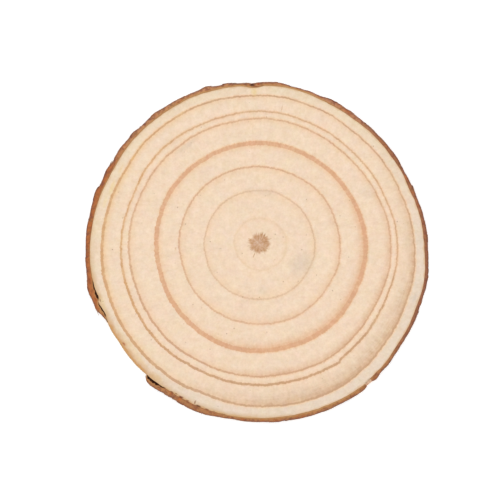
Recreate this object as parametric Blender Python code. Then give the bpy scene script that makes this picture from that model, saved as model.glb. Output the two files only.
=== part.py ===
"""Wood slice: a cross-cut round of young pine, with two strips of bark on its rim.

The named sizes are in millimetres and the model is in metres, with +Z up.
The underside lies on z = 0, and the origin is under the middle of the outline.
Angles are in degrees, anticlockwise from +X, about the pith that the year rings
grew round. The pith stands a little off the middle, as the tree grew lopsided.
"""

import math

import bmesh
import bpy
import numpy as np

MM = 0.001
THICKNESS = 10.0  # between the two sawn faces
PITH_X = 0.75
PITH_Y = 2.54
RIM_STEP = 1.5  # degrees from one point of the wood's rim to the next
EASED_EDGE = 0.3  # sanded corner between a sawn face and the rim

SEAM = 0.3  # from the wood to the bark that still clings to it
THINNEST_BARK = 0.4
BARK_STEP = 1.4  # degrees from one section of bark to the next
BARK_ROWS = 8  # rows of facets up the bark's outer face
BACK_ROWS = (0, 4, 8)  # those that the smoother back has too
RAGGED_END = 0.5  # degrees that a torn end of bark wanders, from face to face
RAGGED_SEED = 3

FLAKE_WIDE = 6.5  # scales of bark, round the trunk
FLAKE_TALL = 8.0  # and along it
FLAKE_LEVEL = 0.3  # scales stand this far above or below their mean
FLAKE_TILT = 0.06  # most rise of a scale towards one side, for each mm
FLAKE_GROOVE = 0.2  # depth of the furrow between two scales
FLAKE_PROUD = 0.12  # furthest that a scale stands out past the sawn outline
FLAKE_SEED = 5

# The cambium, where wood ends and bark begins: (angle, distance from the pith).
# The dip at 92 degrees is the trace of a twig, with bark grown into it.
WOOD_RIM = [
    (0, 48.0), (5, 47.75), (10, 47.45), (15, 46.95), (20, 46.45), (26, 46.45),
    (33, 46.05), (40, 45.9), (47, 45.7), (52, 45.5), (62, 45.5), (67, 45.6),
    (73, 45.9), (80, 46.1), (86, 46.05), (88.5, 45.95), (90.3, 45.55),
    (92, 45.4), (93.6, 45.55), (95.5, 46.0), (100, 46.35), (107, 46.6),
    (114, 46.95), (122, 47.05), (130, 47.25), (138, 47.55), (146, 47.7),
    (153, 47.75), (159, 48.1), (165, 48.6), (172, 48.9), (180, 49.4),
    (187, 49.75), (193, 49.85), (199, 49.5), (204, 49.35), (207, 49.8),
    (211, 50.0), (215.5, 49.8), (219, 50.1), (225, 50.35), (231, 50.4),
    (238, 50.35), (244, 50.55), (252, 50.8), (262, 50.9), (273, 50.95),
    (284, 51.0), (295, 51.15), (304, 51.2), (308, 51.15), (311, 50.75),
    (315, 50.6), (319, 50.3), (323, 49.9), (330, 49.75), (337, 49.35),
    (345, 49.3), (351, 48.85), (356, 48.3),
]  # fmt: skip

# Outside of the strip that runs from the lower right over the top to the left.
# Its short steps are the edges of single scales.
LONG_STRIP = [
    (-50.7, 51.9), (-49.5, 52.05), (-47, 51.65), (-44, 51.55), (-40, 51.1),
    (-37, 50.9), (-31, 50.8), (-25, 50.5), (-21, 50.2), (-13, 50.15),
    (-8, 49.7), (-3, 49.25), (4, 48.95), (10, 48.35), (15, 47.85), (20, 47.55),
    (25, 47.2), (28.5, 47.2), (31, 47.3), (36, 47.1), (42, 46.9), (47, 46.65),
    (54, 46.7), (60, 46.8), (64, 46.85), (66.5, 46.5), (72, 46.6), (79, 46.7),
    (82.5, 47.2), (87, 47.1), (91, 46.95), (92.7, 46.8), (94.2, 47.15),
    (97, 47.2), (101.5, 47.75), (103.5, 47.5), (106.5, 47.7), (108.5, 48.3),
    (110, 48.3), (111.5, 48.1), (120, 48.2), (125, 48.3), (128, 48.6),
    (136, 48.6), (138.8, 49.1), (141, 48.95), (150, 49.15), (154, 49.5),
    (159.5, 49.6), (161.8, 50.2), (166, 50.1), (171, 50.2), (174, 50.5),
    (182, 50.7), (186, 51.05), (190, 51.2), (193, 51.5), (196, 51.75),
    (199, 51.55), (202, 51.5), (204, 51.1), (206, 50.3),
]  # fmt: skip

# Outside of the strip along the bottom, thicker and rounder.
SHORT_STRIP = [
    (229.4, 51.3), (230.3, 51.85), (231.5, 52.1), (234, 52.0), (238, 51.85),
    (241, 51.75), (244, 52.05), (247, 52.35), (253, 52.3), (258, 51.95),
    (262, 51.8), (266, 52.0), (272, 52.15), (276, 52.3), (278, 52.2),
    (282, 52.4), (290, 52.45), (297, 52.45), (304, 52.5), (306, 52.4),
    (307, 52.1),
]  # fmt: skip

# Where an end of bark has sprung from the wood: (angle, width of the gap).
LONG_LIFT = [
    (180, SEAM), (190, SEAM), (193, 0.4), (197, 0.65), (200, 0.75), (203, 0.6),
    (206, 0.35), (208, 0.3),
]  # fmt: skip
SHORT_LIFT = [
    (228, 0.8), (230, 0.75), (233, 0.65), (236, 0.4), (239, SEAM), (245, SEAM),
]  # fmt: skip

COLOURS = {
    "wood": (0.88, 0.69, 0.50, 1.0),
    "bark": (0.36, 0.16, 0.09, 1.0),
}
ROUGHNESS = {"wood": 0.6, "bark": 0.9}
CREASE = math.radians(30)  # faces that meet more sharply than this keep their edge


def clear_scene():
    for obj in list(bpy.data.objects):
        bpy.data.objects.remove(obj, do_unlink=True)


def curve_through(points, angles):
    """Values at the given angles, on the smooth curve through the points."""
    known = np.array([point[0] for point in points], dtype=float)
    value = np.array([point[1] for point in points], dtype=float)
    slope = np.gradient(value, known)
    inside = np.clip(angles, known[0], known[-1])
    left = np.clip(np.searchsorted(known, inside) - 1, 0, len(known) - 2)
    span = known[left + 1] - known[left]
    t = (inside - known[left]) / span
    from_left = value[left] * (1 + 2 * t) * (1 - t) ** 2
    from_left = from_left + slope[left] * span * t * (1 - t) ** 2
    from_right = value[left + 1] * t**2 * (3 - 2 * t)
    from_right = from_right - slope[left + 1] * span * t**2 * (1 - t)
    return from_left + from_right


def wood_radius(angles):
    """The rim's distance from the pith, the same after every full turn."""
    before = [(angle - 360, radius) for angle, radius in WOOD_RIM[-3:]]
    after = [(angle + 360, radius) for angle, radius in WOOD_RIM[:3]]
    turned = np.mod(np.asarray(angles, dtype=float), 360)
    return curve_through(before + WOOD_RIM + after, turned)


def place(angles, radii, heights):
    """Points of the model, in metres, from their places round the pith."""
    turns = np.radians(angles)
    x = PITH_X + radii * np.cos(turns)
    y = PITH_Y + radii * np.sin(turns)
    return MM * np.stack(np.broadcast_arrays(x, y, heights), axis=-1)


def make_material(name):
    material = bpy.data.materials.new(name)
    material.use_nodes = True
    shader = material.node_tree.nodes["Principled BSDF"]
    shader.inputs["Base Color"].default_value = COLOURS[name]
    shader.inputs["Roughness"].default_value = ROUGHNESS[name]
    shader.inputs["Metallic"].default_value = 0.0
    return material


def make_object(name, shape, material):
    mesh = bpy.data.meshes.new(name)
    shape.to_mesh(mesh)
    shape.free()
    mesh.materials.append(material)
    mesh.shade_smooth()
    mesh.set_sharp_from_angle(angle=CREASE)
    obj = bpy.data.objects.new(name, mesh)
    bpy.context.scene.collection.objects.link(obj)
    return obj


def make_wood(material):
    """The disc of wood: its outline, drawn up to the thickness, with eased edges."""
    shape = bmesh.new()
    angles = np.arange(0, 360, RIM_STEP)
    rim = [shape.verts.new(point) for point in place(angles, wood_radius(angles), 0)]
    underside = shape.faces.new(rim)
    drawn = bmesh.ops.extrude_face_region(shape, geom=[underside])["geom"]
    top = [item for item in drawn if isinstance(item, bmesh.types.BMVert)]
    bmesh.ops.translate(shape, verts=top, vec=(0, 0, THICKNESS * MM))
    upright = {edge for vertex in rim for edge in vertex.link_edges if is_upright(edge)}
    corners = [edge for edge in shape.edges if edge not in upright]
    bmesh.ops.bevel(
        shape, geom=corners, offset=EASED_EDGE * MM, segments=1, affect="EDGES"
    )
    bmesh.ops.recalc_face_normals(shape, faces=shape.faces)
    return make_object("wood", shape, material)


def is_upright(edge):
    low, high = sorted(vertex.co.z for vertex in edge.verts)
    return high - low > THICKNESS * MM / 2


def make_scales():
    """Scales on a staggered, jittered grid: angle, height, level and tilt of each."""
    draw = np.random.default_rng(FLAKE_SEED)
    around = round(2 * math.pi * WOOD_RIM[0][1] / FLAKE_WIDE)
    turn = 360 / around
    scales = []
    for row in range(-1, 3):
        for column in range(around):
            aside, up, level, tilt = draw.uniform(-1, 1, 4)
            angle = (column + 0.5 * (row % 2) + 0.35 * aside) * turn
            height = (row + 0.5 + 0.3 * up) * FLAKE_TALL
            scales.append((angle, height, FLAKE_LEVEL * level, FLAKE_TILT * tilt))
    return np.array(scales)


def relief(angles, height, scales):
    """How far the scales stand out at each angle, all at one height."""
    turn = (angles[:, None] - scales[:, 0] + 180) % 360 - 180
    across = np.radians(turn) * wood_radius(angles)[:, None]
    up = (height - scales[:, 1]) * FLAKE_WIDE / FLAKE_TALL
    distance = np.hypot(across, up)
    nearest = np.argmin(distance, axis=1)
    first, second = np.partition(distance, 1, axis=1)[:, :2].T
    furrow = FLAKE_GROOVE * np.exp(first - second)
    tilt = scales[nearest, 3] * across[np.arange(len(angles)), nearest]
    return scales[nearest, 2] + tilt - furrow


def bark_row(strip, lift, scales, angles, height):
    """Back and face of a strip of bark at one height, as distances from the pith."""
    sprung = (curve_through(lift, angles) - SEAM) * (1 + height / THICKNESS) / 2
    back = wood_radius(angles) + SEAM + sprung
    rise = relief(angles, height, scales) - relief(angles, THICKNESS, scales)
    face = curve_through(strip, angles) + np.minimum(rise, FLAKE_PROUD)
    return back, np.maximum(face, back + THINNEST_BARK)


def bark_sections(strip, lift, scales):
    """Closed sections along a strip: up its back, then down its face."""
    first, last = strip[0][0], strip[-1][0]
    count = round((last - first) / BARK_STEP)
    angles = np.linspace(first, last, count + 1)
    near_end = np.exp(-np.arange(count + 1) / 2)
    draw = np.random.default_rng(RAGGED_SEED)
    backs, faces = [], []
    for row in range(BARK_ROWS + 1):
        height = THICKNESS * row / BARK_ROWS
        start, end = RAGGED_END * draw.uniform(-1, 1, 2)
        torn = angles + start * near_end + end * near_end[::-1]
        back, face = bark_row(strip, lift, scales, torn, height)
        backs.append(place(torn, back, height))
        faces.append(place(torn, face, height))
    return np.stack([backs[row] for row in BACK_ROWS] + faces[::-1], axis=1)


def make_bark(name, strip, lift, scales, material):
    """A strip of bark: its sections joined side to side and closed at both ends."""
    shape = bmesh.new()
    rings = []
    for section in bark_sections(strip, lift, scales):
        rings.append([shape.verts.new(point) for point in section])
    for ring, following in zip(rings, rings[1:]):
        for i in range(len(ring)):
            j = (i + 1) % len(ring)
            shape.faces.new((ring[i], ring[j], following[j], following[i]))
    shape.faces.new(rings[0])
    shape.faces.new(rings[-1])
    bmesh.ops.recalc_face_normals(shape, faces=shape.faces)
    return make_object(name, shape, material)


def main():
    clear_scene()
    wood = make_material("wood")
    bark = make_material("bark")
    scales = make_scales()
    make_wood(wood)
    make_bark("bark_long", LONG_STRIP, LONG_LIFT, scales, bark)
    make_bark("bark_short", SHORT_STRIP, SHORT_LIFT, scales, bark)


main()
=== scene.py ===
# %% [markdown]
# # A slice of young pine
#
# The object is a thin round sawn straight across a young pine. Everything that
# gives it its look grew there: pale early wood, seven tan year rings, a brown
# pith a little off the middle, and a rim of thin flaky bark in two strips.
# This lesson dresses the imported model, which already has the right sizes, and
# every step below works in the same frame, in metres, with +Z up.

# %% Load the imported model
import math

import bpy
import numpy as np
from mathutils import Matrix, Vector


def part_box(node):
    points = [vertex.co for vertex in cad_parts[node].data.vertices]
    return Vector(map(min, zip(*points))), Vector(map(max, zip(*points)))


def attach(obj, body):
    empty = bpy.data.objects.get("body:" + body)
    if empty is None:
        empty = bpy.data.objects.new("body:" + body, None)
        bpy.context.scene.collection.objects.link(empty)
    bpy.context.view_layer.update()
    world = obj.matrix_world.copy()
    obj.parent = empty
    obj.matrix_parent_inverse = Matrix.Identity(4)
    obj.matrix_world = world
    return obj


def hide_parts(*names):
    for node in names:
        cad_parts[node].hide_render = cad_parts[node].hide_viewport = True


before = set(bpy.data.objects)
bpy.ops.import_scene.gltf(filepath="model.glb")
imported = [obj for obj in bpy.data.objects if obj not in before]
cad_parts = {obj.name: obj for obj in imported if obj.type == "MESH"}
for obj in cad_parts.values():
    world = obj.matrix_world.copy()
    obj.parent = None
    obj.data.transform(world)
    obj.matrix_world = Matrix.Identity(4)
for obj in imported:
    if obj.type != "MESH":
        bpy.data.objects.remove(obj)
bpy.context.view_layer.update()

print("nodes to dress:", sorted(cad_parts))

# %% [markdown]
# ## Measures round the pith
#
# A tree grows outwards from its pith, so angles and distances from the pith are
# the natural way to say where anything lies. Lengths are in millimetres and are
# turned to metres only when a mesh is made. Angles are in degrees, anticlockwise
# from +X. The pith stands off the middle because the tree grew lopsided.

# %% Driving sizes
MM = 0.001
PITH = np.array([0.75, 2.54])
RIM_RADIUS, BARK_RADIUS = 49, 50  # mm, about how far out wood and bark reach
THICKNESS = (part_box("wood")[1][2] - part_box("wood")[0][2]) / MM
print(f"slice is {THICKNESS:.2f} mm thick")

# The cambium, where wood ends and bark begins: (angle, distance from the pith).
# The dip at 92 degrees is the trace of a twig. Between 199 and 205 degrees a
# tongue of wood reaches out to the bark that has sprung away on both sides.
CAMBIUM = [
    (0, 48.0), (5, 47.75), (10, 47.45), (15, 46.95), (20, 46.45), (26, 46.45),
    (33, 46.05), (40, 45.9), (47, 45.7), (52, 45.5), (62, 45.5), (67, 45.6),
    (73, 45.9), (80, 46.1), (86, 46.05), (88.5, 45.95), (90.3, 45.55),
    (92, 45.4), (93.6, 45.55), (95.5, 46.0), (100, 46.35), (107, 46.6),
    (114, 46.95), (122, 47.05), (130, 47.25), (138, 47.55), (146, 47.7),
    (153, 47.75), (159, 48.1), (165, 48.6), (172, 48.9), (180, 49.4),
    (187, 49.7), (193, 49.7), (197, 49.65), (198.6, 49.45), (199.6, 49.95),
    (200.6, 50.0), (201.6, 49.75), (203.5, 49.55), (205, 49.4), (207, 49.9),
    (211, 50.2), (215.5, 50.1), (219, 50.35), (225, 50.55), (231, 50.5),
    (238, 50.35), (244, 50.55), (252, 50.8), (262, 50.9), (273, 50.95),
    (284, 51.0), (295, 51.15), (304, 51.2), (308, 51.15), (311, 50.75),
    (315, 50.6), (319, 50.3), (323, 49.9), (330, 49.75), (337, 49.35),
    (345, 49.3), (351, 48.85), (356, 48.3),
]  # fmt: skip

# The year rings, at even steps of angle from 0: where the dark late wood stops.
YEAR_RINGS = [
    [7.8, 8.0, 7.7, 7.5, 7.5, 7.4, 7.5, 7.5, 7.6, 7.4, 7.3, 7.5,
     7.5, 7.3, 7.4, 7.4, 7.5, 7.7, 7.9, 7.9, 7.8, 8.0, 8.1, 7.9],
    [16.25, 15.9, 15.8, 15.7, 15.5, 15.7, 15.5, 15.6, 15.8, 15.95, 15.95, 16.0,
     16.25, 16.2, 16.5, 16.4, 16.5, 16.4, 16.35, 16.4, 16.5, 16.45, 16.3, 16.4],
    [23.5, 23.2, 23.15, 22.9, 22.4, 22.35, 22.5, 22.65, 22.95, 23.2, 23.4, 23.4,
     23.6, 23.35, 23.6, 23.6, 23.6, 23.6, 23.55, 23.7, 23.8, 23.7, 23.6, 23.85],
    [31.05, 30.55, 29.85, 29.6, 29.3, 29.3, 29.4, 29.4, 29.45, 29.75, 30.15, 30.15,
     30.15, 30.15, 30.55, 30.85, 31.2, 31.45, 31.4, 31.3, 31.55, 31.6, 31.3, 31.2],
    [38.35, 38.05, 37.3, 36.75, 36.3, 36.1, 36.15, 36.3, 36.45,
     36.6, 36.4, 36.55, 36.8, 36.9, 37.3, 37.4, 37.5, 38.0,
     38.25, 38.3, 38.2, 38.5, 38.75, 38.85, 38.7, 38.75, 38.8,
     38.9, 38.8, 38.9, 39.1, 38.95, 38.6, 38.3, 38.4, 38.6],
    [40.25, 39.85, 39.05, 38.7, 38.3, 38.1, 38.2, 38.15, 38.5,
     38.65, 38.6, 38.65, 38.95, 39.4, 39.7, 39.7, 39.5, 40.05,
     40.5, 40.75, 40.8, 41.05, 41.3, 41.3, 41.05, 41.15, 41.35,
     41.35, 41.3, 41.4, 41.45, 41.0, 40.7, 40.4, 40.3, 40.45],
    [45.15, 44.5, 43.75, 43.45, 43.0, 42.65, 42.85, 42.9, 43.15,
     43.25, 43.4, 43.9, 44.15, 44.4, 44.7, 44.55, 45.1, 45.5,
     45.95, 46.4, 46.55, 46.75, 46.8, 46.9, 47.0, 46.75, 47.3,
     47.6, 47.7, 47.95, 47.95, 47.5, 46.9, 46.45, 46.0, 45.8],
]  # fmt: skip

# %% A smooth curve through measured points
def curve_through(points, angles):
    """Values at the given angles, on the smooth curve through the points."""
    known, value = np.array(points, dtype=float).T
    slope = np.gradient(value, known)
    inside = np.clip(angles, known[0], known[-1])
    left = np.clip(np.searchsorted(known, inside) - 1, 0, len(known) - 2)
    span = known[left + 1] - known[left]
    t = (inside - known[left]) / span
    start = value[left] * (1 + 2 * t) * (1 - t) ** 2
    start = start + slope[left] * span * t * (1 - t) ** 2
    end = value[left + 1] * t**2 * (3 - 2 * t)
    return start + end - slope[left + 1] * span * t**2 * (1 - t)


def loop_through(points, angles):
    """The same for a closed loop, which meets itself after a full turn."""
    before = [(angle - 360, value) for angle, value in points[-3:]]
    after = [(angle + 360, value) for angle, value in points[:3]]
    return curve_through(before + points + after, np.mod(angles, 360))


def ring_radius(ring, angles):
    """How far from the pith a year ring runs at each angle."""
    step = 360 / len(ring)
    return loop_through([(step * i, radius) for i, radius in enumerate(ring)], angles)


def soft_step(low, high, value):
    """0 below low, 1 above high, and a smooth rise between."""
    t = np.clip((value - low) / (high - low), 0, 1)
    return t * t * (3 - 2 * t)


def place(angles, radii, heights):
    """Points in metres, from angle, distance from the pith and height in mm."""
    turn = np.radians(angles)
    x = PITH[0] + radii * np.cos(turn)
    y = PITH[1] + radii * np.sin(turn)
    return MM * np.stack(np.broadcast_arrays(x, y, heights), axis=-1)


def ragged(angles, seed, length, amount):
    """A seeded, smooth random line round the rim, with bumps about this long, in mm."""
    count = round(2 * math.pi * RIM_RADIUS / length)
    bumps = np.random.default_rng(seed).normal(size=count)
    return amount * loop_through([(360 * i / count, bump) for i, bump in enumerate(bumps)], angles)


def cambium_at(angles):
    """Where the wood ends: the measured outline, with the small unevenness of growth."""
    return loop_through(CAMBIUM, angles) + ragged(angles, 3, 1.5, 0.03)


for number, ring in enumerate(YEAR_RINGS, 1):
    print(f"ring {number}: {np.mean(ring):.1f} mm from the pith on average")

# %% [markdown]
# ## From loops of points to a closed mesh
#
# Both the wood and the bark can be laid out as a row of closed loops, each a
# little further on than the last: round the pith for the wood, across the strip
# for the bark. Joining neighbouring loops with quads and closing both ends with
# a fan gives one sealed skin. NumPy writes all of it at once, which is far
# quicker than adding tens of thousands of faces one by one.

# %% Loops to mesh
def skin(name, loops, ends, values):
    """A sealed mesh over the loops. values are numbers kept on its points."""
    count, around = loops.shape[:2]
    points = np.concatenate([loops.reshape(-1, 3), np.asarray(ends)])
    here = np.arange(count * around).reshape(count, around)
    beside = np.roll(here, -1, axis=1)
    quads = np.stack([here[:-1], beside[:-1], beside[1:], here[1:]], axis=-1)
    first, last = count * around, count * around + 1
    cap_a = np.stack([np.full(around, first), beside[0], here[0]], axis=-1)
    cap_b = np.stack([np.full(around, last), here[-1], beside[-1]], axis=-1)
    faces = quads.reshape(-1, 4).tolist() + cap_a.tolist() + cap_b.tolist()
    mesh = bpy.data.meshes.new(name)
    mesh.from_pydata(points, [], faces)
    for label, (on_loops, on_ends) in values.items():
        layer = mesh.attributes.new(label, "FLOAT", "POINT")
        numbers = np.concatenate([np.ravel(on_loops), on_ends]).astype(np.float32)
        layer.data.foreach_set("value", numbers)
    face_outwards(mesh)
    made = bpy.data.objects.new(name, mesh)
    bpy.context.scene.collection.objects.link(made)
    return made


def face_outwards(mesh):
    """Turns every face round if the skin encloses a negative volume."""
    mesh.calc_loop_triangles()
    corner = np.empty(3 * len(mesh.loop_triangles), np.int32)
    mesh.loop_triangles.foreach_get("vertices", corner)
    place_of = np.empty(3 * len(mesh.vertices), np.float32)
    mesh.vertices.foreach_get("co", place_of)
    a, b, c = place_of.reshape(-1, 3)[corner.reshape(-1, 3)].transpose(1, 0, 2)
    if np.einsum("ij,ij->i", a, np.cross(b, c)).sum() < 0:
        mesh.flip_normals()


# %% [markdown]
# ## Nodes by the handful
#
# Materials and Geometry Nodes trees are both built from nodes, settings and
# links. One small function adds a node, sets it, links it and hands back the
# output that is wanted next, so a tree reads from top to bottom like a recipe.

# %% Add a node
def add(tree, kind, inputs=None, output=0, stops=(), **settings):
    """Adds a node. inputs holds a number, colour or other node's output for each socket."""
    made = tree.nodes.new(kind)
    for name, value in settings.items():
        setattr(made, name, value)
    for socket, value in (inputs or {}).items():
        if isinstance(value, bpy.types.NodeSocket):
            tree.links.new(value, made.inputs[socket])
        else:
            made.inputs[socket].default_value = value
    for i, (position, colour) in enumerate(stops):
        elements = made.color_ramp.elements
        stop = elements[i] if i < 2 else elements.new(position)
        stop.position, stop.color = position, colour
    return made.outputs[output] if len(made.outputs) else made


# %% [markdown]
# ## Colours
#
# The colours are read as the eye sees them under the studio light. That light
# makes a white sheet a little brighter than the picture can show, as in the
# photograph, and a dry surface also mirrors a little of the white room. So the
# mirrored part is taken off a colour, and the rest is divided by the light's
# level, to get the share of light that the real surface sends back.

# %% Colours from hex
LIGHT_LEVEL = 1.1
MIRRORED = 0.036


def seen(code):
    """The linear colour of a level surface that looks like this sRGB hex value here."""
    parts = [int(code[i : i + 2], 16) / 255 for i in (1, 3, 5)]
    linear = [p / 12.92 if p <= 0.04045 else ((p + 0.055) / 1.055) ** 2.4 for p in parts]
    return (*((value - min(MIRRORED, 0.3 * value)) / LIGHT_LEVEL for value in linear), 1.0)


# %% [markdown]
# ## The wood: a disc whose mesh follows the rings
#
# Sawn and sanded end grain looks flat, but it isn't quite: sanding takes more
# of the soft early wood than of the hard late wood, so the rings stand up a
# few hundredths of a millimetre. A disc could be a filled circle with a bump
# map. Here the rows of the mesh run along the rings themselves and crowd
# together at each one, so the relief is real, and the number kept on every
# point says how far through the tree's growth it lies. That number, the grain,
# is the ring's average distance from the pith, however lopsided the ring is.

# %% Grain: one number for growth
RING_MEANS = [float(np.mean(ring)) for ring in YEAR_RINGS]
RIM_MEAN = 48.5
COLUMNS = 600
CLOSEST_ROWS = 0.09
KINKED_RING, KINK = 6, 0.5  # it swells outwards at the lower right, then steps back
around = np.arange(COLUMNS) * 360 / COLUMNS
cambium = cambium_at(around)
tracks = np.array([np.zeros(COLUMNS)] + [ring_radius(r, around) for r in YEAR_RINGS] + [cambium])
tracks[KINKED_RING] += KINK * (soft_step(297, 304, around) - soft_step(304.3, 305.0, around))
marks = np.array([0.0, *RING_MEANS, RIM_MEAN])


def radius_at(grain):
    """Distance from the pith, in every direction, of wood with this grain."""
    return np.array([np.interp(grain, marks, tracks[:, i]) for i in range(COLUMNS)])


def grain_rows(step, beside):
    """Rows at even steps, and closer ones beside each ring."""
    even = np.arange(step, RIM_MEAN - 1, step)
    close = np.add.outer(RING_MEANS, beside).ravel()
    rows = np.sort(np.concatenate([even, close]))
    gaps = np.diff(rows, prepend=0)
    return rows[gaps > CLOSEST_ROWS]


top_rows = grain_rows(1.0, [-2, -1.2, -0.7, -0.4, -0.2, 0, 0.15, 0.35, 0.6])
under_rows = grain_rows(2.4, [-0.8, 0, 0.3])
print(len(top_rows), "rows on top,", len(under_rows), "underneath")

# %% Where the rim is bare
BARE_STRETCHES = [(206.4, 229.9), (307.1, 309.3)]
BARE_SLOPE = 0.8  # degrees to each side
BARE_EASED = 0.45
COVERED_EASED = 0.04


def is_bare(angles):
    """1 where the bark is gone, 0 under bark, with a short slope between."""
    parts = []
    for start, end in BARE_STRETCHES:
        rise = soft_step(start - BARE_SLOPE, start + BARE_SLOPE, angles)
        parts.append(rise - soft_step(end - BARE_SLOPE, end + BARE_SLOPE, angles))
    return np.sum(parts, axis=0)


bare = is_bare(around)
eased = COVERED_EASED + (BARE_EASED - COVERED_EASED) * bare
print(f"bare rim over {bare.mean() * 360:.0f} degrees")


# %% The disc
def wood_loops():
    """Loops out over the top, down the rim and back in underneath."""
    loops, grain, inset, side = [], [], [], []

    def lay(radius, height, grain_here, on_side):
        loops.append(place(around, radius, height))
        grain.append(np.broadcast_to(grain_here, COLUMNS))
        inset.append(np.maximum(cambium - radius, 0))
        side.append(np.full(COLUMNS, on_side))

    for row in top_rows:
        lay(radius_at(row), THICKNESS, row, 0.0)
    for turn in np.radians([0, 22, 45, 68, 90]):
        corner = cambium - eased * (1 - math.sin(turn))
        lay(corner, THICKNESS - eased * (1 - math.cos(turn)), RIM_MEAN, math.sin(turn))
    for share in np.linspace(1, 0, 13)[1:-1]:
        lay(cambium, eased + (THICKNESS - 2 * eased) * share, RIM_MEAN, 1.0)
    for turn in np.radians([90, 60, 30, 0]):
        corner = cambium - eased * (1 - math.sin(turn))
        lay(corner, eased * (1 - math.cos(turn)), RIM_MEAN, math.sin(turn))
    for row in under_rows[::-1]:
        lay(radius_at(row), 0.0, row, 0.0)
    return np.array(loops), np.array(grain), np.array(inset), np.array(side)


loops, grain, inset, side = wood_loops()
middle = [place(0, 0, THICKNESS), place(0, 0, 0)]
wood_disc = skin("wood_disc", loops, middle, {
    "grain": (grain, [0, 0]),
    "inset": (inset, [RIM_MEAN, RIM_MEAN]),
    "side": (side, [0, 0]),
    "bare": (np.broadcast_to(bare, side.shape), [0, 0]),
})
print("wood disc:", len(wood_disc.data.vertices), "points")

# %% [markdown]
# ### Relief of the sawn wood, with Geometry Nodes
#
# A Geometry Nodes tree raises the disc's surface. Its named inputs are the
# sizes that a maker would speak of: how proud the late wood stands, how uneven
# the sanded face is, and how deep the fibres show on the bare rim. The tree is
# run once and its result is kept as a plain mesh.

# %% Build a tree and run it
def new_tree(name, sizes):
    """A tree with a geometry and a material going in, a geometry out, and named sizes."""
    tree = bpy.data.node_groups.new(name, "GeometryNodeTree")
    face = tree.interface
    face.new_socket("Geometry", in_out="OUTPUT", socket_type="NodeSocketGeometry")
    face.new_socket("Geometry", in_out="INPUT", socket_type="NodeSocketGeometry")
    face.new_socket("Material", in_out="INPUT", socket_type="NodeSocketMaterial")
    for label, value in sizes.items():
        kind = "NodeSocketInt" if isinstance(value, int) else "NodeSocketFloat"
        face.new_socket(label, in_out="INPUT", socket_type=kind).default_value = value
    return tree, tree.nodes.new("NodeGroupInput").outputs


def run_tree(made, tree, material):
    """Runs the tree on an object and keeps the result as a plain mesh."""
    modifier = made.modifiers.new(tree.name, "NODES")
    modifier.node_group = tree
    for item in tree.interface.items_tree:
        if item.name == "Material" and item.in_out == "INPUT":
            modifier[item.identifier] = material
    graph = bpy.context.evaluated_depsgraph_get()
    mesh = bpy.data.meshes.new_from_object(made.evaluated_get(graph), depsgraph=graph)
    made.modifiers.clear()
    made.data = mesh
    print(made.name, "has", len(mesh.polygons), "faces after", tree.name)


def end_tree(tree, geometry, material):
    """Makes instances real, gives them their material and sends them out."""
    real = add(tree, "GeometryNodeRealizeInstances", {"Geometry": geometry})
    dressed = add(tree, "GeometryNodeSetMaterial", {"Geometry": real, "Material": material})
    add(tree, "NodeGroupOutput", {"Geometry": dressed})


# %% Relief of the wood
def wood_relief():
    """Raised late wood, a sanded unevenness, and fibres up the bare rim."""
    tree, given = new_tree("wood relief", {
        "Late wood height": 0.03 * MM,
        "Uneven by": 0.02 * MM,
        "Fibre depth": 0.1 * MM,
    })
    here = add(tree, "GeometryNodeInputPosition")
    facing = add(tree, "GeometryNodeInputNormal")
    grain = add(tree, "GeometryNodeInputNamedAttribute", {"Name": "grain"}, data_type="FLOAT")
    side = add(tree, "GeometryNodeInputNamedAttribute", {"Name": "side"}, data_type="FLOAT")
    bare = add(tree, "GeometryNodeInputNamedAttribute", {"Name": "bare"}, data_type="FLOAT")
    ridge = 0.0
    for mean in RING_MEANS:
        rise = add(tree, "ShaderNodeMapRange", {"Value": grain, "From Min": mean - 0.8,
                   "From Max": mean - 0.1}, interpolation_type="SMOOTHSTEP")
        fall = add(tree, "ShaderNodeMapRange", {"Value": grain, "From Min": mean + 0.05,
                   "From Max": mean + 0.35}, interpolation_type="SMOOTHSTEP")
        both = add(tree, "ShaderNodeMath", {0: rise, 1: fall}, operation="SUBTRACT")
        ridge = add(tree, "ShaderNodeMath", {0: ridge, 1: both}, operation="ADD")
    ridge = add(tree, "ShaderNodeMath", {0: ridge, 1: given["Late wood height"]},
                operation="MULTIPLY")
    waves = add(tree, "ShaderNodeTexNoise", {"Vector": here, "Scale": 1 / (9 * MM), "Detail": 2.0})
    waves = add(tree, "ShaderNodeMath", {0: waves, 1: -0.5}, operation="ADD")
    waves = add(tree, "ShaderNodeMath", {0: waves, 1: given["Uneven by"]}, operation="MULTIPLY")
    flat_part = add(tree, "ShaderNodeMath", {0: ridge, 1: waves}, operation="ADD")
    upright = add(tree, "ShaderNodeSeparateXYZ", {0: facing}, output="Z")
    not_below = add(tree, "ShaderNodeMath", {0: upright, 1: -0.5}, operation="GREATER_THAN")
    flat_part = add(tree, "ShaderNodeMath", {0: flat_part, 1: not_below}, operation="MINIMUM")
    along = add(tree, "ShaderNodeVectorMath", {0: here, 1: (1, 1, 0.06)}, operation="MULTIPLY")
    fibres = add(tree, "ShaderNodeTexNoise", {"Vector": along, "Scale": 1 / (1.6 * MM),
                 "Detail": 3.0})
    fibres = add(tree, "ShaderNodeMath", {0: fibres, 1: -0.6}, operation="ADD")
    fibres = add(tree, "ShaderNodeMath", {0: fibres, 1: given["Fibre depth"]}, operation="MULTIPLY")
    fibres = add(tree, "ShaderNodeMath", {0: fibres, 1: bare}, operation="MULTIPLY")
    rise = add(tree, "ShaderNodeMix", {0: side, 2: flat_part, 3: fibres})
    move = add(tree, "ShaderNodeVectorMath", {0: facing, "Scale": rise}, operation="SCALE")
    moved = add(tree, "GeometryNodeSetPosition", {"Geometry": given["Geometry"], "Offset": move})
    end_tree(tree, moved, given["Material"])
    return tree


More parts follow.
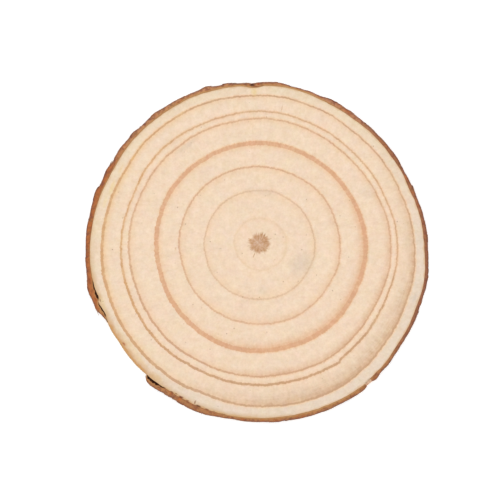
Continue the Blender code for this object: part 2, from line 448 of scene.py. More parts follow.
# %% [markdown]
# ### Pine end grain
#
# The material is bare pine, sawn and sanded, with no finish on it. Early wood is
# cream, late wood tan. A ring starts softly on the side of the pith, as growth
# slows down over a summer, and stops within a third of a millimetre where the
# winter came. Fine rays run from the pith to the rim, and the wood below and to
# the right is darker, as a leaning trunk lays down denser wood on one side.
# A picture could be wrapped on, but rings worked out from the grain stay crisp
# at any distance and run down through the slice as they do in the tree.

# %% Directions and distances that the wood's colour follows
def around_the_pith(tree):
    """Direction from the pith, distance from it and height, in millimetres."""
    here = add(tree, "ShaderNodeTexCoord", output="Object")
    flat = add(tree, "ShaderNodeVectorMath", {0: here, 1: (1 / MM, 1 / MM, 0),
               2: (-PITH[0], -PITH[1], 0)}, operation="MULTIPLY_ADD")
    towards = add(tree, "ShaderNodeVectorMath", {0: flat}, operation="NORMALIZE")
    far = add(tree, "ShaderNodeVectorMath", {0: flat}, output="Value", operation="LENGTH")
    level = add(tree, "ShaderNodeSeparateXYZ", {0: here}, output="Z")
    high = add(tree, "ShaderNodeMath", {0: level, 1: 1 / MM}, operation="MULTIPLY")
    return {"here": here, "flat": flat, "towards": towards, "far": far, "high": high}


def polar_noise(tree, spot, turns, per_mm, detail):
    """Noise with no seam round the pith: turns sets its angle, per_mm its length."""
    depth = add(tree, "ShaderNodeMath", {0: spot["far"], 1: per_mm}, operation="MULTIPLY")
    depth = add(tree, "ShaderNodeCombineXYZ", {"Z": depth})
    vector = add(tree, "ShaderNodeVectorMath", {0: spot["towards"], 1: (turns, turns, 0), 2: depth},
                 operation="MULTIPLY_ADD")
    noise = add(tree, "ShaderNodeTexNoise", {"Vector": vector, "Scale": 1.0, "Detail": detail})
    return add(tree, "ShaderNodeMath", {0: noise, 1: -0.5}, operation="ADD")


def leaning(tree, spot, angle, low, high):
    """0 to 1 as the direction from the pith nears this angle, between two cosines."""
    turn = math.radians(angle)
    near = add(tree, "ShaderNodeVectorMath",
               {0: spot["towards"], 1: (math.cos(turn), math.sin(turn), 0)},
               output="Value", operation="DOT_PRODUCT")
    return add(tree, "ShaderNodeMapRange", {"Value": near, "From Min": low, "From Max": high},
               interpolation_type="SMOOTHSTEP")


# %% Early wood
SAPWOOD_COOL_SIDE = -60


def early_wood(tree, spot, grain):
    """Cream wood, a shade paler and greyer in the sapwood outside the last ring."""
    share = add(tree, "ShaderNodeMath", {0: grain, 1: RIM_MEAN}, operation="DIVIDE")
    cream = add(tree, "ShaderNodeValToRGB", {0: share}, stops=[
        (0.04, seen("#f3d9bd")), (0.15, seen("#f3d9be")), (0.85, seen("#f3d9be")),
        (0.945, seen("#f1dabf")), (0.985, seen("#eed7ba"))])
    outside = add(tree, "ShaderNodeMapRange", {"Value": grain, "From Min": RING_MEANS[6],
                  "From Max": RING_MEANS[6] + 0.8})
    cool = leaning(tree, spot, SAPWOOD_COOL_SIDE, -0.5, 0.7)
    cool = add(tree, "ShaderNodeMath", {0: cool, 1: outside}, operation="MULTIPLY")
    return add(tree, "ShaderNodeMix", {0: cool, 6: cream, 7: seen("#ebd6c0")}, 2, data_type="RGBA")


# %% Late wood
# One entry for each ring, in millimetres. warm: how far in and how strongly a
# warm tint leads up to it. dense: the same for the darker lead on the dense
# side. Then the colour of the ring itself, how far it fades in, how wide it
# stays dark and how far it fades out, and its strength at the top and bottom.
# swell: how much further it spreads to both sides at the lower left and the bottom.
# gold: how golden the wood that leads up to it is on the left.
LATE_WOOD = [
    {"warm": (2.0, 0.3), "dense": (0.5, 0.0), "tan": "#edd1b2", "swell": (0.0, 0.0),
     "line": (0.3, 0.2, 0.3), "dark": (1.0, 1.0), "gold": 0.0},
    {"warm": (3.0, 0.5), "dense": (0.8, 0.0), "tan": "#e0bfa0", "swell": (0.0, 0.0),
     "line": (0.28, 0.18, 0.22), "dark": (0.85, 0.68), "gold": 0.0},
    {"warm": (3.0, 0.65), "dense": (2.5, 0.3), "tan": "#dbb292", "swell": (0.03, 0.0),
     "line": (0.3, 0.22, 0.22), "dark": (0.8, 0.68), "gold": 0.0},
    {"warm": (2.5, 0.9), "dense": (3.5, 0.6), "tan": "#dfad89", "swell": (0.0, 0.0),
     "line": (0.3, 1.02, 0.22), "dark": (0.8, 0.9), "gold": 0.0},
    {"warm": (2.5, 0.75), "dense": (3.0, 0.5), "tan": "#d5ab8a", "swell": (0.03, 0.0),
     "line": (0.3, 0.24, 0.2), "dark": (0.64, 1.05), "gold": 0.0},
    {"warm": (1.3, 0.75), "dense": (1.0, 0.15), "tan": "#cda480", "swell": (0.03, 0.05),
     "line": (0.3, 0.24, 0.22), "dark": (0.55, 1.0), "gold": 0.1},
    {"warm": (2.5, 0.75), "dense": (6.0, 0.61), "tan": "#cea786", "swell": (0.13, 0.0),
     "line": (0.3, 0.26, 0.22), "dark": (0.74, 1.0), "gold": 0.65},
]  # fmt: skip
WARM = "#f0c9a2"
GOLD = "#edc48c"
GOLDEN_TAN = "#dfab74"
DENSE_SIDE = -43
BELOW = -90
PALE_SIDE = 205
GOLD_SIDE = 175
LINE_BEFORE = 0.09  # mm, the middle of a ring's line lies this far inside its stop


def late_wood(tree, spot, grain, colour):
    """Lays the tan rings over the pale wood, each with a soft and a sharp side."""
    dense = leaning(tree, spot, DENSE_SIDE, 0.0, 0.9)
    below = leaning(tree, spot, BELOW, -0.2, 0.9)
    pale = leaning(tree, spot, PALE_SIDE, 0.3, 1.0)
    gold = leaning(tree, spot, GOLD_SIDE, 0.3, 0.95)
    beads = polar_noise(tree, spot, 38, 0.6, 4.0)
    spans = polar_noise(tree, spot, 4, 0.2, 1.0)
    beads = add(tree, "ShaderNodeMath", {0: beads, 1: 2.1, 2: 1.16}, operation="MULTIPLY_ADD")
    uneven = add(tree, "ShaderNodeMath", {0: spans, 1: 0.7, 2: beads}, operation="MULTIPLY_ADD")
    uneven = add(tree, "ShaderNodeMath", {0: pale, 1: -0.15, 2: uneven}, operation="MULTIPLY_ADD")
    blurred = add(tree, "ShaderNodeMath", {0: pale, 1: -0.85, 2: 1.0}, operation="MULTIPLY_ADD")
    layers = polar_noise(tree, spot, 4, 2.0, 3.0)
    layers = add(tree, "ShaderNodeMath", {0: layers, 1: 1.5, 2: 1.0}, operation="MULTIPLY_ADD")
    dense = add(tree, "ShaderNodeMath", {0: dense, 1: layers}, operation="MULTIPLY")
    for mean, ring in zip(RING_MEANS, LATE_WOOD):
        fade_in, wide, fade_out = ring["line"]
        inner, outer = mean - LINE_BEFORE - wide / 2, mean - LINE_BEFORE + wide / 2
        spread = add(tree, "ShaderNodeMath", {0: pale, 1: ring["swell"][0]}, operation="MULTIPLY")
        spread = add(tree, "ShaderNodeMath", {0: below, 1: ring["swell"][1], 2: spread},
                     operation="MULTIPLY_ADD")
        before = add(tree, "ShaderNodeMath", {0: grain, 1: spread}, operation="ADD")
        beyond = add(tree, "ShaderNodeMath", {0: grain, 1: spread}, operation="SUBTRACT")
        stop = add(tree, "ShaderNodeMapRange", {"Value": beyond, "From Min": outer + fade_out,
                   "From Max": outer}, interpolation_type="SMOOTHSTEP")
        leads = []
        for reach, strength in (ring["warm"], ring["dense"]):
            lead = add(tree, "ShaderNodeMapRange", {"Value": grain, "From Min": inner - reach,
                       "From Max": inner})
            lead = add(tree, "ShaderNodeMath", {0: lead, 1: 2.0}, operation="POWER")
            leads.append(add(tree, "ShaderNodeMath", {0: lead, 1: strength}, operation="MULTIPLY"))
        trail = add(tree, "ShaderNodeMapRange", {"Value": grain, "From Min": outer + 0.75,
                    "From Max": outer + 0.05}, interpolation_type="SMOOTHSTEP")
        trail = add(tree, "ShaderNodeMath", {0: trail, 1: blurred}, operation="MULTIPLY")
        trail = add(tree, "ShaderNodeMath", {0: trail, 1: stop}, operation="MAXIMUM")
        warm = add(tree, "ShaderNodeMath", {0: leads[0], 1: trail}, operation="MULTIPLY")
        colour = add(tree, "ShaderNodeMix", {0: warm, 6: colour, 7: seen(WARM)}, 2, data_type="RGBA")
        if ring["gold"]:
            warm = add(tree, "ShaderNodeMath", {0: warm, 1: gold}, operation="MULTIPLY")
            warm = add(tree, "ShaderNodeMath", {0: warm, 1: ring["gold"]}, operation="MULTIPLY")
            colour = add(tree, "ShaderNodeMix", {0: warm, 6: colour, 7: seen(GOLD)}, 2,
                         data_type="RGBA")
        lead = add(tree, "ShaderNodeMath", {0: leads[1], 1: dense}, operation="MULTIPLY")
        line = add(tree, "ShaderNodeMapRange", {"Value": before, "From Min": inner - fade_in,
                   "From Max": inner},
                   interpolation_type="SMOOTHSTEP")
        line = add(tree, "ShaderNodeMath", {0: line, 1: lead}, operation="MAXIMUM")
        line = add(tree, "ShaderNodeMath", {0: line, 1: stop}, operation="MULTIPLY")
        top, bottom = ring["dark"]
        dark = add(tree, "ShaderNodeMath", {0: below, 1: bottom - top, 2: top},
                   operation="MULTIPLY_ADD")
        if ring["gold"]:
            dark = add(tree, "ShaderNodeMath", {0: gold, 1: 0.14, 2: dark}, operation="MULTIPLY_ADD")
        dark = add(tree, "ShaderNodeMath", {0: dark, 1: uneven}, operation="MULTIPLY")
        line = add(tree, "ShaderNodeMath", {0: line, 1: dark}, operation="MULTIPLY", use_clamp=True)
        tan = seen(ring["tan"])
        if ring["gold"]:
            golden = add(tree, "ShaderNodeMath", {0: gold, 1: 0.45}, operation="MULTIPLY")
            tan = add(tree, "ShaderNodeMix", {0: golden, 6: tan, 7: seen(GOLDEN_TAN)}, 2,
                      data_type="RGBA")
        colour = add(tree, "ShaderNodeMix", {0: line, 6: colour, 7: tan}, 2, data_type="RGBA")
    return colour


# %% Pith
PITH_RADIUS = 2.85


def pith_star(tree, spot, colour):
    """The brown pith: a greyish middle, dark hairs round it, and a few long rays."""
    hairs = polar_noise(tree, spot, 6.0, 0.2, 3.0)
    edge = add(tree, "ShaderNodeMath", {0: hairs, 1: 3.0, 2: spot["far"]}, operation="MULTIPLY_ADD")
    inside = add(tree, "ShaderNodeMapRange", {"Value": edge, "From Min": PITH_RADIUS + 0.55,
                 "From Max": PITH_RADIUS - 0.55}, interpolation_type="SMOOTHSTEP")
    lumps = add(tree, "ShaderNodeTexNoise", {"Vector": spot["flat"], "Scale": 1.5, "Detail": 4.0,
                "Roughness": 0.65})
    strokes = polar_noise(tree, spot, 5.0, 0.35, 2.0)
    out = add(tree, "ShaderNodeMapRange", {"Value": spot["far"], "From Min": 0.8, "From Max": 2.3,
              "To Min": 0.1, "To Max": -0.07})
    tone = add(tree, "ShaderNodeMath", {0: lumps, 1: out}, operation="ADD")
    tone = add(tree, "ShaderNodeMath", {0: strokes, 1: 0.7, 2: tone}, operation="MULTIPLY_ADD")
    brown = add(tree, "ShaderNodeValToRGB", {0: tone}, stops=[
        (0.26, seen("#ae835a")), (0.38, seen("#c69a73")), (0.5, seen("#d0a583")),
        (0.62, seen("#d5b195")), (0.78, seen("#ddc2a2"))])
    return add(tree, "ShaderNodeMix", {0: inside, 6: colour, 7: brown}, 2, data_type="RGBA")


# %% Marks that this one slice has
# (angle, distance from the pith, half its length round the pith, half its
# length outwards, colour, strength), the lengths in millimetres.
MARKS = [
    (351.9, 12.4, 0.25, 0.2, "#9c8074", 0.8),
    (43.1, 18.8, 0.25, 0.2, "#a98a6c", 0.7),
    (169.4, 40.5, 0.3, 0.22, "#a8907a", 0.6),
    (154.6, 34.0, 0.2, 0.2, "#b3977e", 0.5),
    (187.3, 11.5, 0.2, 0.6, "#c4ab97", 0.6),
    (183.4, 24.5, 0.7, 0.4, "#d0a27c", 0.55),
    (334.0, 13.6, 6.0, 5.0, "#dcc9b1", 0.55),
    (85.0, 15.0, 7.0, 1.6, "#dfccb5", 0.35),
    (274.0, 13.5, 2.5, 2.0, "#dfccb6", 0.4),
    (126.8, 35.5, 5.0, 1.1, "#dcc8b2", 0.45),
    (26.0, 35.3, 3.0, 3.4, "#dfccb8", 0.3),
    (107.0, 3.1, 0.14, 0.9, "#d39e7e", 0.7),
    (155.0, 3.2, 0.16, 0.8, "#c79163", 0.8),
    (192.0, 3.3, 0.16, 0.6, "#bd9877", 0.6),
    (245.0, 3.7, 0.2, 1.3, "#be946b", 0.75),
    (24.0, 3.3, 0.16, 0.9, "#c5a178", 0.7),
    (333.0, 3.1, 0.16, 0.7, "#cba27c", 0.5),
    (297.0, 3.2, 0.16, 0.7, "#cda67f", 0.5),
    (92.0, 44.3, 1.3, 1.8, "#efd49a", 0.65),
    (218.0, 48.2, 9.0, 1.5, "#ebcda0", 0.55),
    (201.0, 48.9, 5.0, 0.9, "#ecd3a2", 0.55),
    (232.5, 49.3, 3.4, 1.5, "#dcb47a", 0.55),
    (225.0, 48.9, 4.0, 1.2, "#e6c48e", 0.4),
    (340.8, 47.9, 2.2, 0.7, "#dccfc4", 0.5),
    (80.6, 40.0, 0.16, 1.6, "#cfa882", 0.8),
    (146.0, 44.5, 1.8, 0.45, "#e6b87c", 0.6),
    (159.0, 46.0, 3.2, 0.9, "#efd39a", 0.6),
    (165.0, 46.6, 2.6, 0.8, "#efd6a4", 0.5),
    (152.0, 45.9, 2.2, 0.6, "#efd3a0", 0.5),
    (121.0, 44.2, 2.2, 0.6, "#ecc894", 0.45),
]  # fmt: skip


def mark(tree, flat, colour, angle, far, along, across, code, strength):
    """A soft spot of colour at one place on the slice."""
    turn = math.radians(angle)
    nearby = add(tree, "ShaderNodeMapping", {"Vector": flat, "Rotation": (0, 0, turn),
                 "Location": (far * math.cos(turn), far * math.sin(turn), 0),
                 "Scale": (across, along, 1)}, vector_type="TEXTURE")
    away = add(tree, "ShaderNodeVectorMath", {0: nearby}, output="Value", operation="LENGTH")
    amount = add(tree, "ShaderNodeMapRange", {"Value": away, "From Min": 1.0, "From Max": 0.2,
                 "To Max": strength}, interpolation_type="SMOOTHSTEP")
    return add(tree, "ShaderNodeMix", {0: amount, 6: colour, 7: seen(code)}, 2, data_type="RGBA")


def roughened(tree, spot):
    """The flat directions with a little noise in them, which frays the edges of marks."""
    noise = add(tree, "ShaderNodeTexNoise", {"Vector": spot["flat"], "Scale": 1.5, "Detail": 3.0},
                "Color")
    noise = add(tree, "ShaderNodeVectorMath", {0: noise, 1: (-0.5, -0.5, 0)}, operation="ADD")
    return add(tree, "ShaderNodeVectorMath", {0: noise, 1: (0.5, 0.5, 0), 2: spot["flat"]},
               operation="MULTIPLY_ADD")


# %% Marks along the seam of wood and bark
# As in MARKS: the surroundings of the cracks, then dark nicks and stained wood
# beside the short strip. They lie on the wood and on the bark alike.
SEAM_MARKS = [
    (237.5, 50.2, 1.6, 0.35, "#cda878", 0.45),
    (241.0, 50.1, 1.8, 0.4, "#cda574", 0.5),
    (245.0, 50.3, 1.8, 0.4, "#c99c6c", 0.5),
    (250.5, 50.5, 2.2, 0.4, "#c99c6c", 0.5),
    (257.5, 50.6, 2.8, 0.35, "#d3aa78", 0.5),
    (262.5, 50.65, 3.0, 0.35, "#d3aa78", 0.5),
    (267.5, 50.7, 3.0, 0.3, "#d6ae7e", 0.45),
    (192.3, 50.8, 1.6, 0.5, "#905238", 0.6),
    (195.3, 50.15, 1.0, 0.35, "#b5713e", 0.75),
    (198.9, 50.4, 0.9, 0.35, "#a8602f", 0.85),
    (201.2, 50.5, 1.0, 0.3, "#c08a5c", 0.7),
    (203.2, 50.5, 1.2, 0.3, "#cf9b6c", 0.75),
    (199.3, 49.6, 0.7, 0.3, "#c8965e", 0.7),
    (193.0, 49.85, 0.8, 0.28, "#c58f5c", 0.5),
    (197.6, 49.8, 0.8, 0.3, "#7a4c28", 0.7),
    (199.7, 49.25, 0.9, 0.17, "#98764e", 0.9),
    (200.6, 50.05, 0.5, 0.22, "#8a4c26", 0.7),
    (204.9, 49.7, 0.8, 0.22, "#7e5230", 0.7),
    (206.6, 49.9, 1.0, 0.24, "#8c7058", 0.8),
    (209.3, 50.15, 1.8, 0.2, "#9c8468", 0.7),
    (212.6, 50.15, 1.6, 0.18, "#ac9678", 0.6),
    (216.5, 49.2, 0.9, 0.4, "#b3704a", 0.9),
    (236.6, 50.4, 0.7, 0.24, "#8a5226", 0.9),
    (239.5, 50.3, 0.9, 0.28, "#925c30", 0.95),
    (241.0, 50.1, 0.6, 0.24, "#93602f", 0.9),
    (242.9, 50.3, 1.1, 0.5, "#84461c", 1.0),
    (245.4, 50.4, 0.8, 0.3, "#8c5526", 0.95),
    (247.9, 50.0, 0.26, 0.8, "#925c30", 0.95),
    (249.3, 50.6, 1.3, 0.36, "#6e3812", 1.0),
    (252.3, 50.65, 0.9, 0.28, "#8c5526", 0.9),
    (254.8, 50.7, 0.5, 0.2, "#805a38", 0.7),
    (258.0, 50.85, 1.4, 0.18, "#8f643c", 0.65),
    (308.2, 51.05, 1.25, 0.42, "#e4c6a8", 0.95),
]  # fmt: skip


# %% Unevenness of the wood
CLOUDS, CELLS, RAYS = 0.08, 0.44, 0.08  # how strongly each of them shades the wood
DARKER_IS_BROWNER = (0.75, 1.0, 1.4)
WARMER = (0.7, 0.36, -1.0)
ROSIER = (0.7, -1.0, 0.3)


def mottled(tree, spot, colour):
    """Fine cells, faint clouds and rays, with a tint that drifts between warm and cool."""
    clouds = add(tree, "ShaderNodeTexNoise", {"Vector": spot["flat"], "Scale": 1 / 14, "Detail": 1.0,
                 "Roughness": 0.9})
    cells = add(tree, "ShaderNodeTexNoise", {"Vector": spot["flat"], "Scale": 1 / 2.2, "Detail": 2.6,
                "Roughness": 1.0})
    tint = add(tree, "ShaderNodeTexNoise", {"Vector": spot["here"], "Scale": 1 / (5 * MM),
               "Detail": 4.0, "Roughness": 0.95}, "Color")
    rays = polar_noise(tree, spot, 90, 0.3, 3.0)
    clouds = add(tree, "ShaderNodeMath", {0: clouds, 1: CLOUDS, 2: -(CLOUDS + CELLS) / 2},
                 operation="MULTIPLY_ADD")
    cells = add(tree, "ShaderNodeMath", {0: cells, 1: CELLS, 2: clouds}, operation="MULTIPLY_ADD")
    shade = add(tree, "ShaderNodeMath", {0: rays, 1: RAYS, 2: cells}, operation="MULTIPLY_ADD")
    shade = add(tree, "ShaderNodeVectorMath", {0: shade, 1: DARKER_IS_BROWNER, 2: (1, 1, 1)},
                operation="MULTIPLY_ADD")
    tint = add(tree, "ShaderNodeVectorMath", {0: tint, 1: (-0.5, -0.5, -0.5)}, operation="ADD")
    for axis, strength, towards in (("X", 0.21, WARMER), ("Y", 0.12, ROSIER)):
        part = add(tree, "ShaderNodeSeparateXYZ", {0: tint}, axis)
        part = add(tree, "ShaderNodeMath", {0: part, 1: strength}, operation="MULTIPLY")
        shade = add(tree, "ShaderNodeVectorMath", {0: part, 1: towards, 2: shade},
                    operation="MULTIPLY_ADD")
    return add(tree, "ShaderNodeVectorMath", {0: colour, 1: shade}, operation="MULTIPLY")


def specks(tree, spot, colour):
    """Resin canals: faint grey-brown pores, a third of a millimetre across."""
    nearest = add(tree, "ShaderNodeTexVoronoi", {"Vector": spot["flat"], "Scale": 0.42}, "Distance")
    own = add(tree, "ShaderNodeTexVoronoi", {"Vector": spot["flat"], "Scale": 0.42}, "Color")
    own = add(tree, "ShaderNodeSeparateXYZ", {0: own})
    near = add(tree, "ShaderNodeMapRange", {"Value": nearest, "From Min": 0.11, "From Max": 0.04},
               interpolation_type="SMOOTHSTEP")
    strength = add(tree, "ShaderNodeMapRange", {"Value": own, "From Min": 0.45, "From Max": 1.0,
                   "To Max": 0.7})
    amount = add(tree, "ShaderNodeMath", {0: near, 1: strength}, operation="MULTIPLY")
    return add(tree, "ShaderNodeMix", {0: amount, 6: colour, 7: seen("#a98c74")}, 2, data_type="RGBA")


# %% The whole finish of the wood
def pine_end_grain():
    """Bare sanded pine: matt, cream and tan, with a dry sheen and no lacquer."""
    material = bpy.data.materials.new("bare_pine_end_grain")
    material.use_nodes = True
    tree = material.node_tree
    tree.nodes.clear()
    spot = around_the_pith(tree)
    grain = add(tree, "ShaderNodeAttribute", output="Fac", attribute_name="grain")
    wander = polar_noise(tree, spot, 16, 0.2, 4.0)
    grain = add(tree, "ShaderNodeMath", {0: wander, 1: 0.55, 2: grain}, operation="MULTIPLY_ADD")
    fray = polar_noise(tree, spot, 60, 0.5, 3.0)
    grain = add(tree, "ShaderNodeMath", {0: fray, 1: 0.6, 2: grain}, operation="MULTIPLY_ADD")
    colour = early_wood(tree, spot, grain)
    colour = late_wood(tree, spot, grain, colour)
    colour = pith_star(tree, spot, colour)
    flat = roughened(tree, spot)
    for place_and_look in MARKS:
        colour = mark(tree, flat, colour, *place_and_look)
    colour = specks(tree, spot, colour)
    colour = mottled(tree, spot, colour)
    colour = rim_colour(tree, spot, colour)
    for place_and_look in SEAM_MARKS:
        colour = mark(tree, flat, colour, *place_and_look)
    rays = polar_noise(tree, spot, 150, 0.12, 2.0)
    finish(tree, colour, 0.62, add(tree, "ShaderNodeMath", {0: rays, 1: 0.5}, operation="MULTIPLY"))
    return material


STAINED_SIDE = 228  # degrees: here the bark's tannin has crept a millimetre into the wood
BARE_SIDE = 218.5  # about the middle of the longer bare stretch


def rim_colour(tree, spot, colour):
    """Tan towards the rim, fibres down the bare rim, and brown under the bark, darkened by painted
    shade.
    """
    inset = add(tree, "ShaderNodeAttribute", output="Fac", attribute_name="inset")
    side = add(tree, "ShaderNodeAttribute", output="Fac", attribute_name="side")
    bare = add(tree, "ShaderNodeAttribute", output="Fac", attribute_name="bare")
    reach = polar_noise(tree, spot, 22, 0.8, 3.0)
    near = add(tree, "ShaderNodeMath", {0: reach, 1: 1.2, 2: inset}, operation="MULTIPLY_ADD")
    stain = add(tree, "ShaderNodeMapRange", {"Value": near, "From Min": 1.5, "From Max": 0.0,
                "To Max": 0.75})
    covered = add(tree, "ShaderNodeMath", {0: 1.0, 1: bare}, operation="SUBTRACT")
    for share in (covered, leaning(tree, spot, STAINED_SIDE, 0.5, 0.85)):
        stain = add(tree, "ShaderNodeMath", {0: stain, 1: share}, operation="MULTIPLY")
    colour = add(tree, "ShaderNodeMix", {0: stain, 6: colour, 7: seen("#d0a878")}, 2, data_type="RGBA")
    rim_tan = add(tree, "ShaderNodeMapRange", {"Value": near, "From Min": 0.55, "From Max": 0.0,
                  "To Max": 0.75})
    edge = add(tree, "ShaderNodeMix", {0: bare, 6: seen("#dcb589"), 7: seen("#a39378")}, 2,
               data_type="RGBA")
    colour = add(tree, "ShaderNodeMix", {0: rim_tan, 6: colour, 7: edge}, 2, data_type="RGBA")
    near = add(tree, "ShaderNodeMath", {0: reach, 1: 1.6, 2: inset}, operation="MULTIPLY_ADD")
    rim_tan = add(tree, "ShaderNodeMapRange", {"Value": near, "From Min": 2.0, "From Max": 0.5})
    rim_tan = add(tree, "ShaderNodeMath", {0: rim_tan, 1: leaning(tree, spot, BARE_SIDE, 0.97, 0.988)},
                  operation="MULTIPLY")
    colour = add(tree, "ShaderNodeMix", {0: rim_tan, 6: colour, 7: seen("#d2a16d")}, 2,
                 data_type="RGBA")
    along = add(tree, "ShaderNodeVectorMath", {0: spot["here"], 1: (1 / MM, 1 / MM, 0.06 / MM)},
                operation="MULTIPLY")
    fibres = add(tree, "ShaderNodeTexNoise", {"Vector": along, "Scale": 1.4, "Detail": 4.0})
    tan = add(tree, "ShaderNodeValToRGB", {0: fibres}, stops=[
        (0.32, seen("#a97c50")), (0.5, seen("#c9a074")), (0.68, seen("#dcbc92"))])
    # Painted shade: the brown rim under the bark turns near black from the top edge down, as shade
    # falls in the cracks.
    deep = add(tree, "ShaderNodeMapRange", {"Value": spot["high"], "From Min": THICKNESS - 0.04,
               "From Max": THICKNESS - 0.35})
    back_with_painted_shade = add(tree, "ShaderNodeMix", {0: deep, 6: seen("#96602f"), 7: seen("#5e2f10")}, 2,
                 data_type="RGBA")
    outside = add(tree, "ShaderNodeMix", {0: bare, 6: back_with_painted_shade, 7: tan}, 2, data_type="RGBA")
    turned = add(tree, "ShaderNodeMapRange", {"Value": side, "From Min": 0.3, "From Max": 0.95},
                 interpolation_type="SMOOTHSTEP")
    return add(tree, "ShaderNodeMix", {0: turned, 6: colour, 7: outside}, 2, data_type="RGBA")


def finish(tree, colour, roughness, height):
    """Ends a material: a matt surface with a fine bump of its own."""
    bump = add(tree, "ShaderNodeBump", {"Strength": 0.25, "Distance": 0.05 * MM, "Height": height})
    surface = add(tree, "ShaderNodeBsdfPrincipled", {"Base Color": colour, "Roughness": roughness,
                  "IOR": 1.5, "Specular IOR Level": 0.3, "Normal": bump})
    add(tree, "ShaderNodeOutputMaterial", {"Surface": surface})


# %% [markdown]
# ### A flat map of each piece
#
# A picture baked from these finishes needs a flat map of each piece. Left to a
# machine, the map falls into hundreds of scraps with seams across the rings.
# Here both round faces stay whole, lying corner to corner in the square, and
# the rim is cut into six lengths that fit beside them. The bark will be
# unrolled in the same way.

# %% Write a map
def write_map(made, around_count, map_corner):
    """Gives a skin its map. map_corner takes rows and columns of corners and faces, and points."""
    mesh = made.data
    corner = np.empty(len(mesh.loops), np.int32)
    mesh.loops.foreach_get("vertex_index", corner)
    sides = np.empty(len(mesh.polygons), np.int32)
    mesh.polygons.foreach_get("loop_total", sides)
    face = np.repeat(np.arange(len(sides)), sides)
    points = np.empty(3 * len(mesh.vertices), np.float32)
    mesh.vertices.foreach_get("co", points)
    at = points.reshape(-1, 3)[corner] / MM
    rows, columns = corner // around_count, corner % around_count
    flat = map_corner(rows, columns, face // around_count, face % around_count, at)
    layer = mesh.uv_layers.new(name="OFBake")
    layer.data.foreach_set("uv", np.stack(flat, axis=-1).astype(np.float32).ravel())
    print(made.name, "map spans", np.round(np.ptp(np.stack(flat), axis=1), 2))


def map_of_wood(row, column, face_row, face_column, at):
    """Top at the upper left, underside at the lower right, six lengths of rim at the lower left."""
    first, last = len(top_rows) + 2, len(top_rows) + 17
    on_rim = (face_row >= first) & (face_row < last)
    below = ((face_row >= last) & (face_row < len(loops) - 1)) | (face_row == len(loops))
    scale = 0.283 / 51
    u = np.where(below, 0.705 - at[:, 0] * scale, 0.295 + at[:, 0] * scale)
    v = np.where(below, 0.295, 0.705) + at[:, 1] * scale
    length = COLUMNS // 6
    part = face_column // length
    u = np.where(on_rim, 0.015 + np.mod(column - part * length, COLUMNS) / length * 0.28, u)
    v = np.where(on_rim, 0.012 + part * 0.062 + (last - row) / (last - first) * 0.055, v)
    return u, v


run_tree(wood_disc, wood_relief(), pine_end_grain())
write_map(wood_disc, COLUMNS, map_of_wood)
wood_disc.data.shade_smooth()
wood_disc.data.set_sharp_from_angle(angle=math.radians(40))

# %% [markdown]
# ## The bark: two torn strips
#
# Bark of a young pine is barely 1.5 mm thick: a tan living layer against the
# wood, then red-brown cork, then grey-brown scales that flake off. On this
# slice it runs round in a long strip and a short one. Between them the rim is
# bare on the lower left, and there is a narrow tear at the lower right. Their
# left ends have sprung away from the wood.

# %% Outlines of the strips
# Outer edge of the long strip, from the lower right over the top to the left.
LONG_STRIP = [
    (-50.7, 52.0), (-49.5, 52.3), (-47, 51.7), (-44, 51.58), (-41.5, 51.42),
    (-40, 51.2), (-37, 50.97), (-31, 50.77), (-25, 50.55), (-21, 50.3), (-13, 50.25),
    (-8, 49.8), (-3, 49.3), (4, 48.98), (10, 48.5), (15, 48.0), (20, 47.65),
    (25, 47.3), (28.5, 47.3), (31, 47.4), (36, 47.2), (42, 47.0), (47, 46.82),
    (54, 46.8), (60, 46.9), (64, 47.0), (66.5, 46.7), (72, 46.8), (79, 46.9),
    (82.5, 47.3), (87, 47.2), (91, 46.95), (92.7, 46.75), (94.2, 46.9),
    (97, 47.1), (99.5, 47.35), (101.5, 47.75), (103.5, 47.6), (106.5, 47.85), (108.5, 48.4),
    (110, 48.3), (111.5, 48.2), (120, 48.4), (125, 48.55), (128, 48.85),
    (136, 48.7), (138.8, 49.15), (141, 49.05), (147, 49.3), (150.5, 49.05), (154, 49.6),
    (158, 49.55), (160, 49.6), (162, 50.2), (166, 50.2), (171, 50.3), (174, 50.6),
    (182, 50.8), (186, 51.1), (190, 51.25), (192, 51.45), (193.7, 51.76),
    (196.5, 51.92), (198.5, 51.58), (199.6, 51.53), (201.2, 51.62), (202.2, 51.48),
    (203, 51.18), (203.8, 50.85), (204.6, 50.58), (205.5, 50.38), (206.4, 50.18),
    (207.4, 49.97),
]  # fmt: skip

# Outer edge of the short strip, along the bottom.
SHORT_STRIP = [
    (229.3, 50.9), (229.8, 51.4), (230.5, 51.9), (231.5, 52.2), (234, 52.25), (238, 51.95),
    (241, 51.85), (244, 52.15), (247, 52.4), (253, 52.35), (258, 52.0),
    (262, 51.9), (266, 52.1), (272, 52.2), (276, 52.35), (278, 52.25),
    (282, 52.45), (290, 52.5), (297, 52.5), (304, 52.55), (306, 52.4),
    (307, 52.1),
]  # fmt: skip

# The torn neck of pale inner bark between the two strips, at the lower right.
NECK = [(306.2, 51.85), (307.3, 51.98), (308.4, 51.95), (309.3, 51.98), (310.4, 51.85)]

# Gap between wood and sprung bark: (angle, width).
LONG_GAP = [
    (-60, 0), (192.3, 0), (193.3, 0.22), (195, 0.3), (196.6, 0.36), (197.6, 0.55),
    (198.4, 0.5), (199, 0.15), (199.8, 0.0), (200.6, 0.18), (201.5, 0.34),
    (202.8, 0.46), (204, 0.42), (204.8, 0.22), (205.4, 0.1), (206.3, 0.0),
]  # fmt: skip
SHORT_GAP = [
    (229, 0.0), (229.6, 0.08), (230.2, 0.5), (231.3, 0.76), (232.4, 0.82),
    (233.5, 0.66), (234.7, 0.44), (236, 0.2), (237, 0.03), (238, 0.0), (310, 0.0),
]  # fmt: skip

